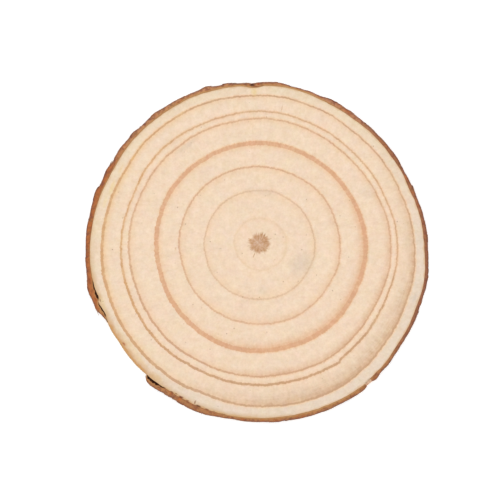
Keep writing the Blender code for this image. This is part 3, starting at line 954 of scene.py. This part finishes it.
# How far the golden living layer reaches out from the wood: (angle, width).
LIVING_LAYER = [
    (0, 0.1), (30, 0.06), (50, 0.16), (70, 0.45), (95, 0.5), (115, 0.5),
    (140, 0.35), (160, 0.35), (180, 0.15), (195, 0.35), (225, 0.4), (245, 0.1),
    (260, 0.25), (280, 0.45), (300, 0.45), (312, 0.18), (330, 0.06), (350, 0.07),
]  # fmt: skip
TUCKED = 0.03  # the bark reaches this far into the wood, so that no light gets through
SUNK = 0.03  # its sawn edge lies this far below the wood's
THINNEST = 0.15
CRACK_DEPTH = 0.16  # the cracks close over this share of the slice's thickness


# %% Lay out a strip
STRIP_STEP = 0.3  # degrees
BACK_ROWS = np.array([0, 0.3, 0.6, 0.84, 0.88, 0.92, 0.96, 1])
EDGE_ROWS = np.linspace(0, 1, 7)[1:]
FACE_ROWS = np.linspace(1, 0, 36)[1:]
UNDER_ROWS = np.linspace(1, 0, 5)[1:-1]


def bark_loops(outline, gap, sunk):
    """Sections of a strip: up its back, over its sawn edge, down its face and back."""
    first, last = outline[0][0], outline[-1][0]
    angles = np.linspace(first, last, round((last - first) / STRIP_STEP) + 1)
    tall = THICKNESS - sunk
    sprung = np.maximum(curve_through(gap, angles), 0)
    sprung = sprung * np.clip(1 + ragged(angles, 5, 0.5, 0.25), 0.4, 1.6)
    rim = cambium_at(angles)
    tuck = TUCKED * soft_step(0.06, 0.0, sprung)
    face = curve_through(outline, angles)
    face = face + ragged(angles, 7, 1.4, 0.03) - 0.02
    points = []
    for share in BACK_ROWS:
        ajar = sprung * soft_step(1 - CRACK_DEPTH, 1, share)
        points.append((rim - tuck + ajar, np.full_like(angles, tall * share), 0, 1))
    back_top = rim - tuck + sprung
    thick = np.maximum(face - back_top, THINNEST)
    for share in EDGE_ROWS:
        points.append((back_top + thick * share, np.full_like(angles, tall), share, 0))
    for share in FACE_ROWS:
        points.append((back_top + thick, np.full_like(angles, tall * share), 1, 0))
    for share in UNDER_ROWS:
        points.append((back_top + thick * share, np.zeros_like(angles), share, 0))
    radii = np.array([p[0] for p in points]).T
    heights = np.array([p[1] for p in points]).T
    across = np.array([np.full_like(angles, p[2]) for p in points]).T
    backs = np.array([np.full_like(angles, p[3]) for p in points]).T
    layer = loop_through(LIVING_LAYER, angles)[:, None]
    from_end = np.radians(np.minimum(angles - first, last - angles))[:, None]
    from_end = from_end * BARK_RADIUS + 0 * across
    loops = place(angles[:, None], radii, heights)
    return loops, across, thick[:, None] * across, backs, layer, from_end


def make_strip(name, outline, gap, sunk=SUNK):
    """A strip of bark as one sealed piece, which knows how deep each point lies in it."""
    loops, across, depth, backs, layer, from_end = bark_loops(outline, gap, sunk)
    left = (depth.max(axis=1, keepdims=True) - depth) * (across > 0)
    left = np.where(across > 0, left, depth.max(axis=1, keepdims=True))
    ends = [loops[0].mean(axis=0), loops[-1].mean(axis=0)]
    half = [depth[0].mean(), depth[-1].mean()]
    return skin(name, loops, ends, {
        "from_skin": (left, half),
        "living": (depth / layer, [1, 1]),
        "outside": (across >= 1, [0, 0]),
        "back": (backs, [0, 0]),
        "from_end": (from_end, [0, 0]),
    })


long_strip = make_strip("bark_long_strip", LONG_STRIP, LONG_GAP)
short_strip = make_strip("bark_short_strip", SHORT_STRIP, SHORT_GAP)
neck = make_strip("torn_inner_bark", NECK, [(300, 0), (320, 0)], 0.15)
print("bark:", len(long_strip.data.polygons) + len(short_strip.data.polygons), "faces")

# %% [markdown]
# ### Scales and furrows, with Geometry Nodes
#
# The face of the bark is broken into scales that lie in layers, with furrows
# between them. Voronoi cells drawn out along the trunk give the scales: each
# has its own height and leans its own way, so that one of its edges stands
# proud of the next scale. Small cells sit on large ones, and the borders sink.
# The tree moves real points outwards from the pith. It keeps the height that it
# gave them and each scale's own tone, so that the material can use both.

# %% Relief of the bark
SMOOTH_SIDE = 51  # degrees: the scales have come off here, so the face is smoother


def bark_relief():
    """Leaning scales and furrows on the outer face; sawn faces stay as they are."""
    tree, given = new_tree("bark relief", {
        "Scale width": 4.6 * MM,
        "Scale height": 6.5 * MM,
        "Step": 0.4 * MM,
        "Lean": 0.5 * MM,
        "Furrow": 0.3 * MM,
        "Roughness": 0.2 * MM,
        "Seed": 4,
    })
    here = add(tree, "GeometryNodeInputPosition")
    outside = add(tree, "GeometryNodeInputNamedAttribute", {"Name": "outside"}, data_type="FLOAT")
    shift = add(tree, "ShaderNodeCombineXYZ", {axis: given["Seed"] for axis in "XYZ"})
    wide = add(tree, "ShaderNodeMath", {0: 1.0, 1: given["Scale width"]}, operation="DIVIDE")
    tall = add(tree, "ShaderNodeMath", {0: 1.0, 1: given["Scale height"]}, operation="DIVIDE")
    size = add(tree, "ShaderNodeCombineXYZ", {"X": wide, "Y": wide, "Z": tall})
    cells = add(tree, "ShaderNodeVectorMath", {0: here, 1: size, 2: shift}, operation="MULTIPLY_ADD")
    bend = add(tree, "ShaderNodeTexNoise", {"Vector": cells, "Scale": 1.3, "Detail": 4.0}, "Color")
    bend = add(tree, "ShaderNodeVectorMath", {0: bend, 1: (-0.5, -0.5, -0.5)}, operation="ADD")
    cells = add(tree, "ShaderNodeVectorMath", {0: bend, 1: (0.8, 0.8, 0.8), 2: cells},
                operation="MULTIPLY_ADD")
    height, tone = 0.0, 0.0
    for scale, share in ((1.0, 1.0), (2.3, 0.5)):
        spot = {"Vector": cells, "Scale": scale}
        own = add(tree, "ShaderNodeTexVoronoi", spot, "Color")
        middle = add(tree, "ShaderNodeTexVoronoi", spot, "Position")
        border = add(tree, "ShaderNodeTexVoronoi", spot, "Distance", feature="DISTANCE_TO_EDGE")
        own_tone = add(tree, "ShaderNodeSeparateXYZ", {0: own})
        tone = add(tree, "ShaderNodeMath", {0: own_tone, 1: share / 1.5, 2: tone},
                   operation="MULTIPLY_ADD")
        level = add(tree, "ShaderNodeMath", {0: own_tone, 1: -0.5}, operation="ADD")
        level = add(tree, "ShaderNodeMath", {0: level, 1: given["Step"]}, operation="MULTIPLY")
        away = add(tree, "ShaderNodeVectorMath", {0: cells, 1: middle}, operation="SUBTRACT")
        way = add(tree, "ShaderNodeVectorMath", {0: own, 1: (-0.5, -0.5, -0.5)}, operation="ADD")
        lean = add(tree, "ShaderNodeVectorMath", {0: away, 1: way}, output="Value",
                   operation="DOT_PRODUCT")
        lean = add(tree, "ShaderNodeMath", {0: lean, 1: scale}, operation="MULTIPLY")
        level = add(tree, "ShaderNodeMath", {0: lean, 1: given["Lean"], 2: level},
                    operation="MULTIPLY_ADD")
        sink = add(tree, "ShaderNodeMapRange", {"Value": border, "From Min": 0.1 / scale,
                   "From Max": 0.0},
                   interpolation_type="SMOOTHSTEP")
        sink = add(tree, "ShaderNodeMath", {0: sink, 1: given["Furrow"]}, operation="MULTIPLY")
        part = add(tree, "ShaderNodeMath", {0: level, 1: sink}, operation="SUBTRACT")
        height = add(tree, "ShaderNodeMath", {0: part, 1: share, 2: height}, operation="MULTIPLY_ADD")
    fine = add(tree, "ShaderNodeTexNoise", {"Vector": cells, "Scale": 5.0, "Detail": 5.0,
               "Roughness": 0.65})
    fine = add(tree, "ShaderNodeMath", {0: fine, 1: -0.5}, operation="ADD")
    height = add(tree, "ShaderNodeMath", {0: fine, 1: given["Roughness"], 2: height},
                 operation="MULTIPLY_ADD")
    worn = add(tree, "ShaderNodeMath", {0: height, 1: 0.5}, operation="MULTIPLY")
    height = add(tree, "ShaderNodeMath", {0: height, 1: worn}, operation="MINIMUM")
    z = add(tree, "ShaderNodeSeparateXYZ", {0: here}, output="Z")
    held = add(tree, "ShaderNodeMapRange", {"Value": z, "From Min": (THICKNESS - 1.2) * MM,
               "From Max": THICKNESS * MM, "To Min": 1.0, "To Max": 0.12})
    height = add(tree, "ShaderNodeMath", {0: height, 1: held}, operation="MULTIPLY")
    height = add(tree, "ShaderNodeMath", {0: height, 1: outside}, operation="MULTIPLY")
    from_end = add(tree, "GeometryNodeInputNamedAttribute", {"Name": "from_end"}, data_type="FLOAT")
    ending = add(tree, "ShaderNodeMapRange", {"Value": from_end, "From Min": 1.0, "From Max": 5.0,
                 "To Min": 0.1, "To Max": 1.0})
    height = add(tree, "ShaderNodeMath", {0: height, 1: ending}, operation="MULTIPLY")
    flat = add(tree, "ShaderNodeVectorMath", {0: here, 1: (-PITH[0] * MM, -PITH[1] * MM, 0)},
               operation="ADD")
    flat = add(tree, "ShaderNodeVectorMath", {0: flat, 1: (1, 1, 0)}, operation="MULTIPLY")
    out = add(tree, "ShaderNodeVectorMath", {0: flat}, operation="NORMALIZE")
    turn = math.radians(SMOOTH_SIDE)
    near = add(tree, "ShaderNodeVectorMath", {0: out, 1: (math.cos(turn), math.sin(turn), 0)},
               output="Value", operation="DOT_PRODUCT")
    smooth = add(tree, "ShaderNodeMapRange", {"Value": near, "From Min": 0.965, "From Max": 0.985,
                 "To Min": 1.0, "To Max": 0.35})
    height = add(tree, "ShaderNodeMath", {0: height, 1: smooth}, operation="MULTIPLY")
    move = add(tree, "ShaderNodeVectorMath", {0: out, "Scale": height}, operation="SCALE")
    moved = add(tree, "GeometryNodeSetPosition", {"Geometry": given["Geometry"], "Offset": move})
    kept = add(tree, "ShaderNodeMath", {0: height, 1: 1 / MM}, operation="MULTIPLY")
    for label, value in (("relief", kept), ("tone", tone)):
        moved = add(tree, "GeometryNodeStoreNamedAttribute", {"Geometry": moved, "Name": label,
                    "Value": value}, data_type="FLOAT", domain="POINT")
    end_tree(tree, moved, given["Material"])
    return tree


# %% [markdown]
# ### Flaky pine bark
#
# Dead cork has no sheen at all. Its sawn edge shows the layers, from tan at the
# wood to dark at the skin. Its face is grey-brown where scales have weathered
# and dark brown where it lies lowest, in the furrows.

# %% Marks in the bark
# As in MARKS: the scar of the twig at the top and a stained end.
BARK_MARKS = [
    (94.9, 46.35, 0.6, 0.14, "#6b5040", 0.7),
    (92.6, 46.2, 1.1, 0.5, "#52291f", 1.0),
    (90.4, 46.5, 0.5, 0.4, "#a8472c", 0.9),
    (91.5, 45.75, 1.7, 0.24, "#8c5a40", 0.8),
    (89.0, 46.1, 0.8, 0.2, "#8f6c42", 0.75),
    (306.0, 51.8, 0.7, 0.3, "#94703f", 0.6),
]  # fmt: skip


# %% Bark finish
def bark_body(tree, spot):
    """Red-brown cork: redder on the left, paler at the top, greyer on the right."""
    body = seen("#b4815a")
    for angle, low, code in ((176, 0.6, "#b57445"), (55, 0.75, "#bd896b"), (-10, 0.8, "#9f7054"),
                             (124, 0.86, "#bf8c69"), (26, 0.92, "#a87556")):
        near = leaning(tree, spot, angle, low, 0.97)
        body = add(tree, "ShaderNodeMix", {0: near, 6: body, 7: seen(code)}, 2, data_type="RGBA")
    spots = add(tree, "ShaderNodeTexNoise", {"Vector": spot["here"], "Scale": 1 / (1.6 * MM),
                "Detail": 3.0, "Roughness": 0.6}, "Color")
    for axis, low, high, code in (("X", 0.5, 0.34, "#93614a"), ("Y", 0.52, 0.68, "#b9723f"),
                                  ("Z", 0.46, 0.3, "#98714a")):
        amount = add(tree, "ShaderNodeSeparateXYZ", {0: spots}, axis)
        amount = add(tree, "ShaderNodeMapRange", {"Value": amount, "From Min": low, "From Max": high,
                     "To Max": 0.75})
        body = add(tree, "ShaderNodeMix", {0: amount, 6: body, 7: seen(code)}, 2, data_type="RGBA")
    grit = add(tree, "ShaderNodeTexNoise", {"Vector": spot["here"], "Scale": 1 / (0.8 * MM),
               "Detail": 3.0, "Roughness": 0.6})
    grit = add(tree, "ShaderNodeMath", {0: grit, 1: 0.9, 2: 0.56}, operation="MULTIPLY_ADD")
    return add(tree, "ShaderNodeVectorMath", {0: body, "Scale": grit}, operation="SCALE")


def flaky_bark():
    """Dry cork: layered where it is sawn, flaky on its face, with painted shade on its back in the
    cracks.
    """
    material = bpy.data.materials.new("flaky_pine_bark")
    material.use_nodes = True
    tree = material.node_tree
    tree.nodes.clear()
    spot = around_the_pith(tree)
    kept = {name: add(tree, "ShaderNodeAttribute", output="Fac", attribute_name=name)
            for name in ("from_skin", "living", "back", "outside", "relief", "tone")}
    streaks = polar_noise(tree, spot, 42, 0.0, 3.0)
    body = bark_body(tree, spot)
    crust = add(tree, "ShaderNodeMath", {0: streaks, 1: kept["from_skin"]}, operation="ADD")
    crust = add(tree, "ShaderNodeMapRange", {"Value": crust, "From Min": 0.6, "From Max": 0.05,
                "To Max": 0.7})
    sawn = add(tree, "ShaderNodeMix", {0: crust, 6: body, 7: seen("#7c5144")}, 2, data_type="RGBA")
    living = add(tree, "ShaderNodeMath", {0: streaks, 1: 0.8, 2: kept["living"]},
                 operation="MULTIPLY_ADD")
    golden = add(tree, "ShaderNodeMapRange", {"Value": living, "From Min": 1.2, "From Max": 0.5},
                 interpolation_type="SMOOTHSTEP")
    sawn = add(tree, "ShaderNodeMix", {0: golden, 6: sawn, 7: seen("#c39465")}, 2, data_type="RGBA")
    golden = add(tree, "ShaderNodeMapRange", {"Value": living, "From Min": 0.6, "From Max": 0.0})
    sawn = add(tree, "ShaderNodeMix", {0: golden, 6: sawn, 7: seen("#d5aa7a")}, 2, data_type="RGBA")
    flat = roughened(tree, spot)
    for place_and_look in BARK_MARKS + SEAM_MARKS:
        sawn = mark(tree, flat, sawn, *place_and_look)
    lumps = add(tree, "ShaderNodeTexNoise", {"Vector": spot["here"], "Scale": 1 / (1.2 * MM),
                "Detail": 5.0, "Roughness": 0.65})
    weathered = add(tree, "ShaderNodeMath", {0: lumps, 1: 0.9, 2: -0.45}, operation="MULTIPLY_ADD")
    weathered = add(tree, "ShaderNodeMath", {0: kept["tone"], 1: 0.8, 2: weathered},
                    operation="MULTIPLY_ADD")
    scales = add(tree, "ShaderNodeValToRGB", {0: weathered}, stops=[
        (0.12, seen("#6e4430")), (0.3, seen("#8d5c41")), (0.45, seen("#a0704f")),
        (0.6, seen("#a98468")), (0.8, seen("#b59f8b"))])
    furrow = add(tree, "ShaderNodeMath", {0: lumps, 1: 0.3, 2: kept["relief"]},
                 operation="MULTIPLY_ADD")
    furrow = add(tree, "ShaderNodeMapRange", {"Value": furrow, "From Min": 0.12, "From Max": -0.2,
                 "To Max": 0.85}, interpolation_type="SMOOTHSTEP")
    face = add(tree, "ShaderNodeMix", {0: furrow, 6: scales, 7: seen("#4c2c1d")}, 2, data_type="RGBA")
    colour = add(tree, "ShaderNodeMix", {0: kept["outside"], 6: sawn, 7: face}, 2, data_type="RGBA")
    # Painted shade: the brown back of the bark turns near black from the top edge down, as shade falls
    # in the cracks.
    shade = add(tree, "ShaderNodeMapRange", {"Value": spot["high"], "From Min": THICKNESS - 0.08,
                "From Max": THICKNESS - 0.4})
    back_with_painted_shade = add(tree, "ShaderNodeMix", {0: shade, 6: seen("#96602f"), 7: seen("#5e2f10")}, 2,
                 data_type="RGBA")
    colour = add(tree, "ShaderNodeMix", {0: kept["back"], 6: colour, 7: back_with_painted_shade}, 2, data_type="RGBA")
    finish(tree, colour, 0.9, lumps)
    return material


def torn_fibre():
    """Pale, pinkish fibre of the inner bark, torn along the grain."""
    material = bpy.data.materials.new("torn_inner_bark_fibre")
    material.use_nodes = True
    tree = material.node_tree
    tree.nodes.clear()
    spot = around_the_pith(tree)
    along = add(tree, "ShaderNodeVectorMath", {0: spot["here"], 1: (1 / MM, 1 / MM, 0.08 / MM)},
                operation="MULTIPLY")
    fibres = add(tree, "ShaderNodeTexNoise", {"Vector": along, "Scale": 1.2, "Detail": 3.0})
    colour = add(tree, "ShaderNodeValToRGB", {0: fibres}, stops=[
        (0.35, seen("#c9a085")), (0.5, seen("#d8b296")), (0.65, seen("#e2c3a8"))])
    finish(tree, colour, 0.85, fibres)
    return material


# %% Dress the strips
SECTION = len(BACK_ROWS) + len(EDGE_ROWS) + len(FACE_ROWS) + len(UNDER_ROWS)


def map_of_strip(lengths, sections):
    """Unrolls a strip into a few lengths, one above the other, with both ends at the right."""
    reach = np.concatenate([BACK_ROWS * 3, 3 + 1.5 * EDGE_ROWS, 4.5 + THICKNESS * (1 - FACE_ROWS),
                            4.5 + THICKNESS + 1.5 * (1 - UNDER_ROWS), [6 + THICKNESS]])
    reach = reach / reach[-1]
    height = np.concatenate([BACK_ROWS, 0 * EDGE_ROWS + 1, FACE_ROWS, 0 * UNDER_ROWS])
    across = np.concatenate([0 * BACK_ROWS, EDGE_ROWS, 0 * FACE_ROWS + 1, UNDER_ROWS])
    long = math.ceil((sections - 1) / lengths)

    def map_corner(row, column, face_row, face_column, at):
        part = face_row // long
        past_end = (face_column == SECTION - 1) & (column == 0)
        u = 0.004 + (row - part * long) / long * 0.945
        v = (part + 0.99 - 0.97 * np.where(past_end, 1, reach[column])) / lengths
        on_end = face_row >= sections - 1
        middle = row >= sections
        top_end = face_row == sections
        end_u = 0.963 + 0.03 * np.where(middle, 0.5, across[column])
        end_v = 0.02 + 0.46 * np.where(middle, 0.5, height[column]) + 0.5 * top_end
        return np.where(on_end, end_u, u), np.where(on_end, end_v, v)

    return map_corner


bark_finish = flaky_bark()
scaly = bark_relief()
for strip, lengths in ((long_strip, 4), (short_strip, 2)):
    run_tree(strip, scaly, bark_finish)
    write_map(strip, SECTION, map_of_strip(lengths, (len(strip.data.vertices) - 2) // SECTION))
    strip.data.shade_smooth()
    strip.data.set_sharp_from_angle(angle=math.radians(50))
neck.data.materials.append(torn_fibre())

# %% [markdown]
# ### Loose flakes, with Geometry Nodes
#
# The outermost cork comes off in thin curled flakes. Each could be modelled by
# hand, but there are hundreds. A tree scatters points over the outer face of a
# strip, sets one little plate on each, turned and sized at random, then frays
# the plates' outlines and keeps them between the two sawn faces. A plate has
# only a few dozen faces, and takes the bark's own finish with a tone of its own.

# %% One flake, scattered over the bark
def bark_flakes():
    """Thin plates of cork that lie on the bark's outer face, longer up the trunk than round it."""
    tree, given = new_tree("bark flakes", {
        "Spacing": 1.25 * MM,
        "Half height": 1.5 * MM,
        "Half width": 0.95 * MM,
        "Thickness": 0.13 * MM,
        "Tilt": 0.06,
        "Fray": 1.5 * MM,
        "Edge": 1.1 * MM,
        "From end": 4.0,
        "Highest": 0.1,
        "Seed": 11,
    })
    here = add(tree, "GeometryNodeInputPosition")
    z = add(tree, "ShaderNodeSeparateXYZ", {0: here}, output="Z")
    outside = add(tree, "GeometryNodeInputNamedAttribute", {"Name": "outside"}, data_type="FLOAT")
    relief = add(tree, "GeometryNodeInputNamedAttribute", {"Name": "relief"}, data_type="FLOAT")
    from_end = add(tree, "GeometryNodeInputNamedAttribute", {"Name": "from_end"}, data_type="FLOAT")
    tone = add(tree, "GeometryNodeInputNamedAttribute", {"Name": "tone"}, data_type="FLOAT")
    below_top = add(tree, "ShaderNodeMath", {0: THICKNESS * MM, 1: given["Edge"]}, operation="SUBTRACT")
    chosen = add(tree, "ShaderNodeMath", {0: outside, 1: 0.9}, operation="GREATER_THAN")
    for value, limit, test in ((z, below_top, "LESS_THAN"), (z, given["Edge"], "GREATER_THAN"),
                               (relief, given["Highest"], "LESS_THAN"),
                               (from_end, given["From end"], "GREATER_THAN")):
        part = add(tree, "ShaderNodeMath", {0: value, 1: limit}, operation=test)
        chosen = add(tree, "ShaderNodeMath", {0: chosen, 1: part}, operation="MULTIPLY")
    spread = tree.nodes.new("GeometryNodeDistributePointsOnFaces")
    spread.distribute_method = "POISSON"
    spread.inputs["Density Max"].default_value = 1e6
    for socket, value in (("Mesh", given["Geometry"]), ("Selection", chosen),
                          ("Distance Min", given["Spacing"]), ("Seed", given["Seed"])):
        tree.links.new(value, spread.inputs[socket])
    flat = add(tree, "ShaderNodeVectorMath", {0: here, 1: (-PITH[0] * MM, -PITH[1] * MM, 0)},
               operation="ADD")
    flat = add(tree, "ShaderNodeVectorMath", {0: flat, 1: (1, 1, 0)}, operation="MULTIPLY")
    out = add(tree, "ShaderNodeVectorMath", {0: flat}, operation="NORMALIZE")
    turn = add(tree, "FunctionNodeAlignRotationToVector", {"Vector": out}, axis="Z")
    turn = add(tree, "FunctionNodeAlignRotationToVector", {"Rotation": turn, "Vector": (0, 0, 1)},
               axis="X", pivot_axis="Z")
    own = add(tree, "FunctionNodeRandomValue", {"Min": (-1, -1, -0.7), "Max": (1, 1, 0.7),
              "Seed": 1}, data_type="FLOAT_VECTOR")
    tilt = add(tree, "ShaderNodeCombineXYZ", {"X": given["Tilt"], "Y": given["Tilt"], "Z": 1.0})
    own = add(tree, "ShaderNodeVectorMath", {0: own, 1: tilt}, operation="MULTIPLY")
    turn = add(tree, "FunctionNodeRotateRotation", {"Rotation": turn,
               "Rotate By": add(tree, "FunctionNodeEulerToRotation", {0: own})}, rotation_space="LOCAL")
    plate = add(tree, "GeometryNodeMeshCylinder", {"Vertices": 11, "Radius": 1.0, "Depth": 1.0},
                fill_type="TRIANGLE_FAN")
    size = add(tree, "FunctionNodeRandomValue", {"Min": (0.4, 0.4, 0.7), "Max": (1.3, 1.3, 1.3),
               "Seed": 2}, data_type="FLOAT_VECTOR")
    full = add(tree, "ShaderNodeCombineXYZ", {"X": given["Half height"], "Y": given["Half width"],
               "Z": given["Thickness"]})
    size = add(tree, "ShaderNodeVectorMath", {0: size, 1: full}, operation="MULTIPLY")
    flakes = add(tree, "GeometryNodeInstanceOnPoints", {"Points": spread.outputs["Points"],
                 "Instance": plate, "Rotation": turn, "Scale": size})
    shade = add(tree, "FunctionNodeRandomValue", {2: -0.3, 3: 0.3, "Seed": 3}, output=1,
                data_type="FLOAT")
    shade = add(tree, "ShaderNodeMath", {0: tone, 1: shade}, operation="ADD")
    proud = add(tree, "FunctionNodeRandomValue", {2: 0.05, 3: 0.3, "Seed": 4}, output=1,
                data_type="FLOAT")
    for label, value in (("tone", shade), ("relief", proud)):
        flakes = add(tree, "GeometryNodeStoreNamedAttribute", {"Geometry": flakes, "Name": label,
                     "Value": value}, data_type="FLOAT", domain="INSTANCE")
    real = add(tree, "GeometryNodeRealizeInstances", {"Geometry": flakes})
    fray = add(tree, "ShaderNodeTexNoise", {"Vector": here, "Scale": 1 / (1.5 * MM),
               "Detail": 3.0}, "Color")
    fray = add(tree, "ShaderNodeVectorMath", {0: fray, 1: (-0.5, -0.5, -0.5)}, operation="ADD")
    fray = add(tree, "ShaderNodeVectorMath", {0: fray, "Scale": given["Fray"]}, operation="SCALE")
    away = add(tree, "ShaderNodeVectorMath", {0: fray, 1: out}, output="Value", operation="DOT_PRODUCT")
    away = add(tree, "ShaderNodeMath", {0: away, 1: -0.85}, operation="MULTIPLY")
    fray = add(tree, "ShaderNodeVectorMath", {0: out, 1: away, 2: fray}, operation="MULTIPLY_ADD")
    frayed = add(tree, "GeometryNodeSetPosition", {"Geometry": real, "Offset": fray})
    level = add(tree, "ShaderNodeClamp", {"Value": z, "Min": 0.15 * MM, "Max": (THICKNESS - 0.5) * MM})
    kept = add(tree, "ShaderNodeCombineXYZ", {"Z": level})
    kept = add(tree, "ShaderNodeVectorMath", {0: here, 1: (1, 1, 0), 2: kept}, operation="MULTIPLY_ADD")
    frayed = add(tree, "GeometryNodeSetPosition", {"Geometry": frayed, "Position": kept})
    flat = add(tree, "GeometryNodeSetShadeSmooth", {"Geometry": frayed, "Shade Smooth": False})
    end_tree(tree, flat, given["Material"])
    return tree


flaking = bark_flakes()
flakes = []
for strip in (long_strip, short_strip):
    loose = bpy.data.objects.new("flakes_on_" + strip.name, strip.data.copy())
    bpy.context.scene.collection.objects.link(loose)
    run_tree(loose, flaking, bark_finish)
    flakes.append(loose)

# %% [markdown]
# ## Put the pieces in the frame
#
# Each finished piece stands for one solid of the imported model, which is
# hidden. Nothing here moves, so all ride on the root.

# %% Ride and replace
for piece, node, slot in (
    (wood_disc, "wood", "wood"),
    (long_strip, "bark_long", "bark"),
    (short_strip, "bark_short", "bark"),
):
    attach(piece, "root")
    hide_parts(node)
for piece in [neck, *flakes]:
    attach(piece, "root")

# %% [markdown]
# ## The studio
#
# A sheet of white paper, a large soft light overhead and pale walls. Nearly all
# light comes from above, so the slice has hardly a shadow, as in the photograph.

# %% Paper
FLOOR_SIZE = 6.0
FLOOR_DROP = 0.02 * MM
WHITE_PAPER = {
    "Base Color": (0.94, 0.94, 0.94, 1),
    "Roughness": 0.95,
    "Specular IOR Level": 0.1,
    "Emission Color": (1, 1, 1, 1),
    "Emission Strength": 0.33,
}
paper = bpy.data.meshes.new("paper")
corner = FLOOR_SIZE / 2
corners = [(-corner, -corner), (corner, -corner), (corner, corner), (-corner, corner)]
paper.from_pydata([(x, y, -FLOOR_DROP) for x, y in corners], [], [(0, 1, 2, 3)])
floor = bpy.data.objects.new("paper", paper)
bpy.context.scene.collection.objects.link(floor)
white = bpy.data.materials.new("white_paper")
white.use_nodes = True
for socket, value in WHITE_PAPER.items():
    white.node_tree.nodes["Principled BSDF"].inputs[socket].default_value = value
paper.materials.append(white)

# %% Lights
def soft_box(name, place, size, watts):
    """A square area light that looks at the slice."""
    light = bpy.data.lights.new(name, "AREA")
    light.shape, light.size, light.energy = "SQUARE", size, watts
    made = bpy.data.objects.new(name, light)
    made.location = place
    made.rotation_euler = (-made.location).to_track_quat("-Z", "Y").to_euler()
    bpy.context.scene.collection.objects.link(made)


soft_box("overhead", (-0.02, 0.025, 1.2), 0.5, 10.6)

world = bpy.data.worlds.new("pale walls")
bpy.context.scene.world = world
world.use_nodes = True
walls = world.node_tree
walls.nodes.clear()
ray = add(walls, "ShaderNodeTexCoord", output="Generated")
up = add(walls, "ShaderNodeSeparateXYZ", {0: ray}, output="Z")
glow = add(walls, "ShaderNodeMapRange", {"Value": up, "From Min": 0.1, "From Max": 0.4,
           "To Min": 1.0, "To Max": 0.36})
glow = add(walls, "ShaderNodeBackground", {"Color": (1, 1, 1, 1), "Strength": glow})
add(walls, "ShaderNodeOutputWorld", {"Surface": glow})
bpy.context.scene.view_settings.view_transform = "Standard"

# %% [markdown]
# ## The camera
#
# The photograph looks straight down. A long lens far away keeps the sides of
# the slice out of sight, as they are there.

# %% Camera straight above
FRAME_WIDTH = 145.77  # mm across the picture, at the height of the top face
FRAME_MIDDLE = (-2.02, 0.645)
LENS, SENSOR = 200.0, 36.0
camera = bpy.data.objects.new("camera", bpy.data.cameras.new("camera"))
camera.data.lens, camera.data.sensor_width = LENS, SENSOR
away = FRAME_WIDTH * LENS / SENSOR
camera.location = (FRAME_MIDDLE[0] * MM, FRAME_MIDDLE[1] * MM, (THICKNESS + away) * MM)
bpy.context.scene.collection.objects.link(camera)
bpy.context.scene.camera = camera
print(f"camera is {away:.0f} mm above the slice")
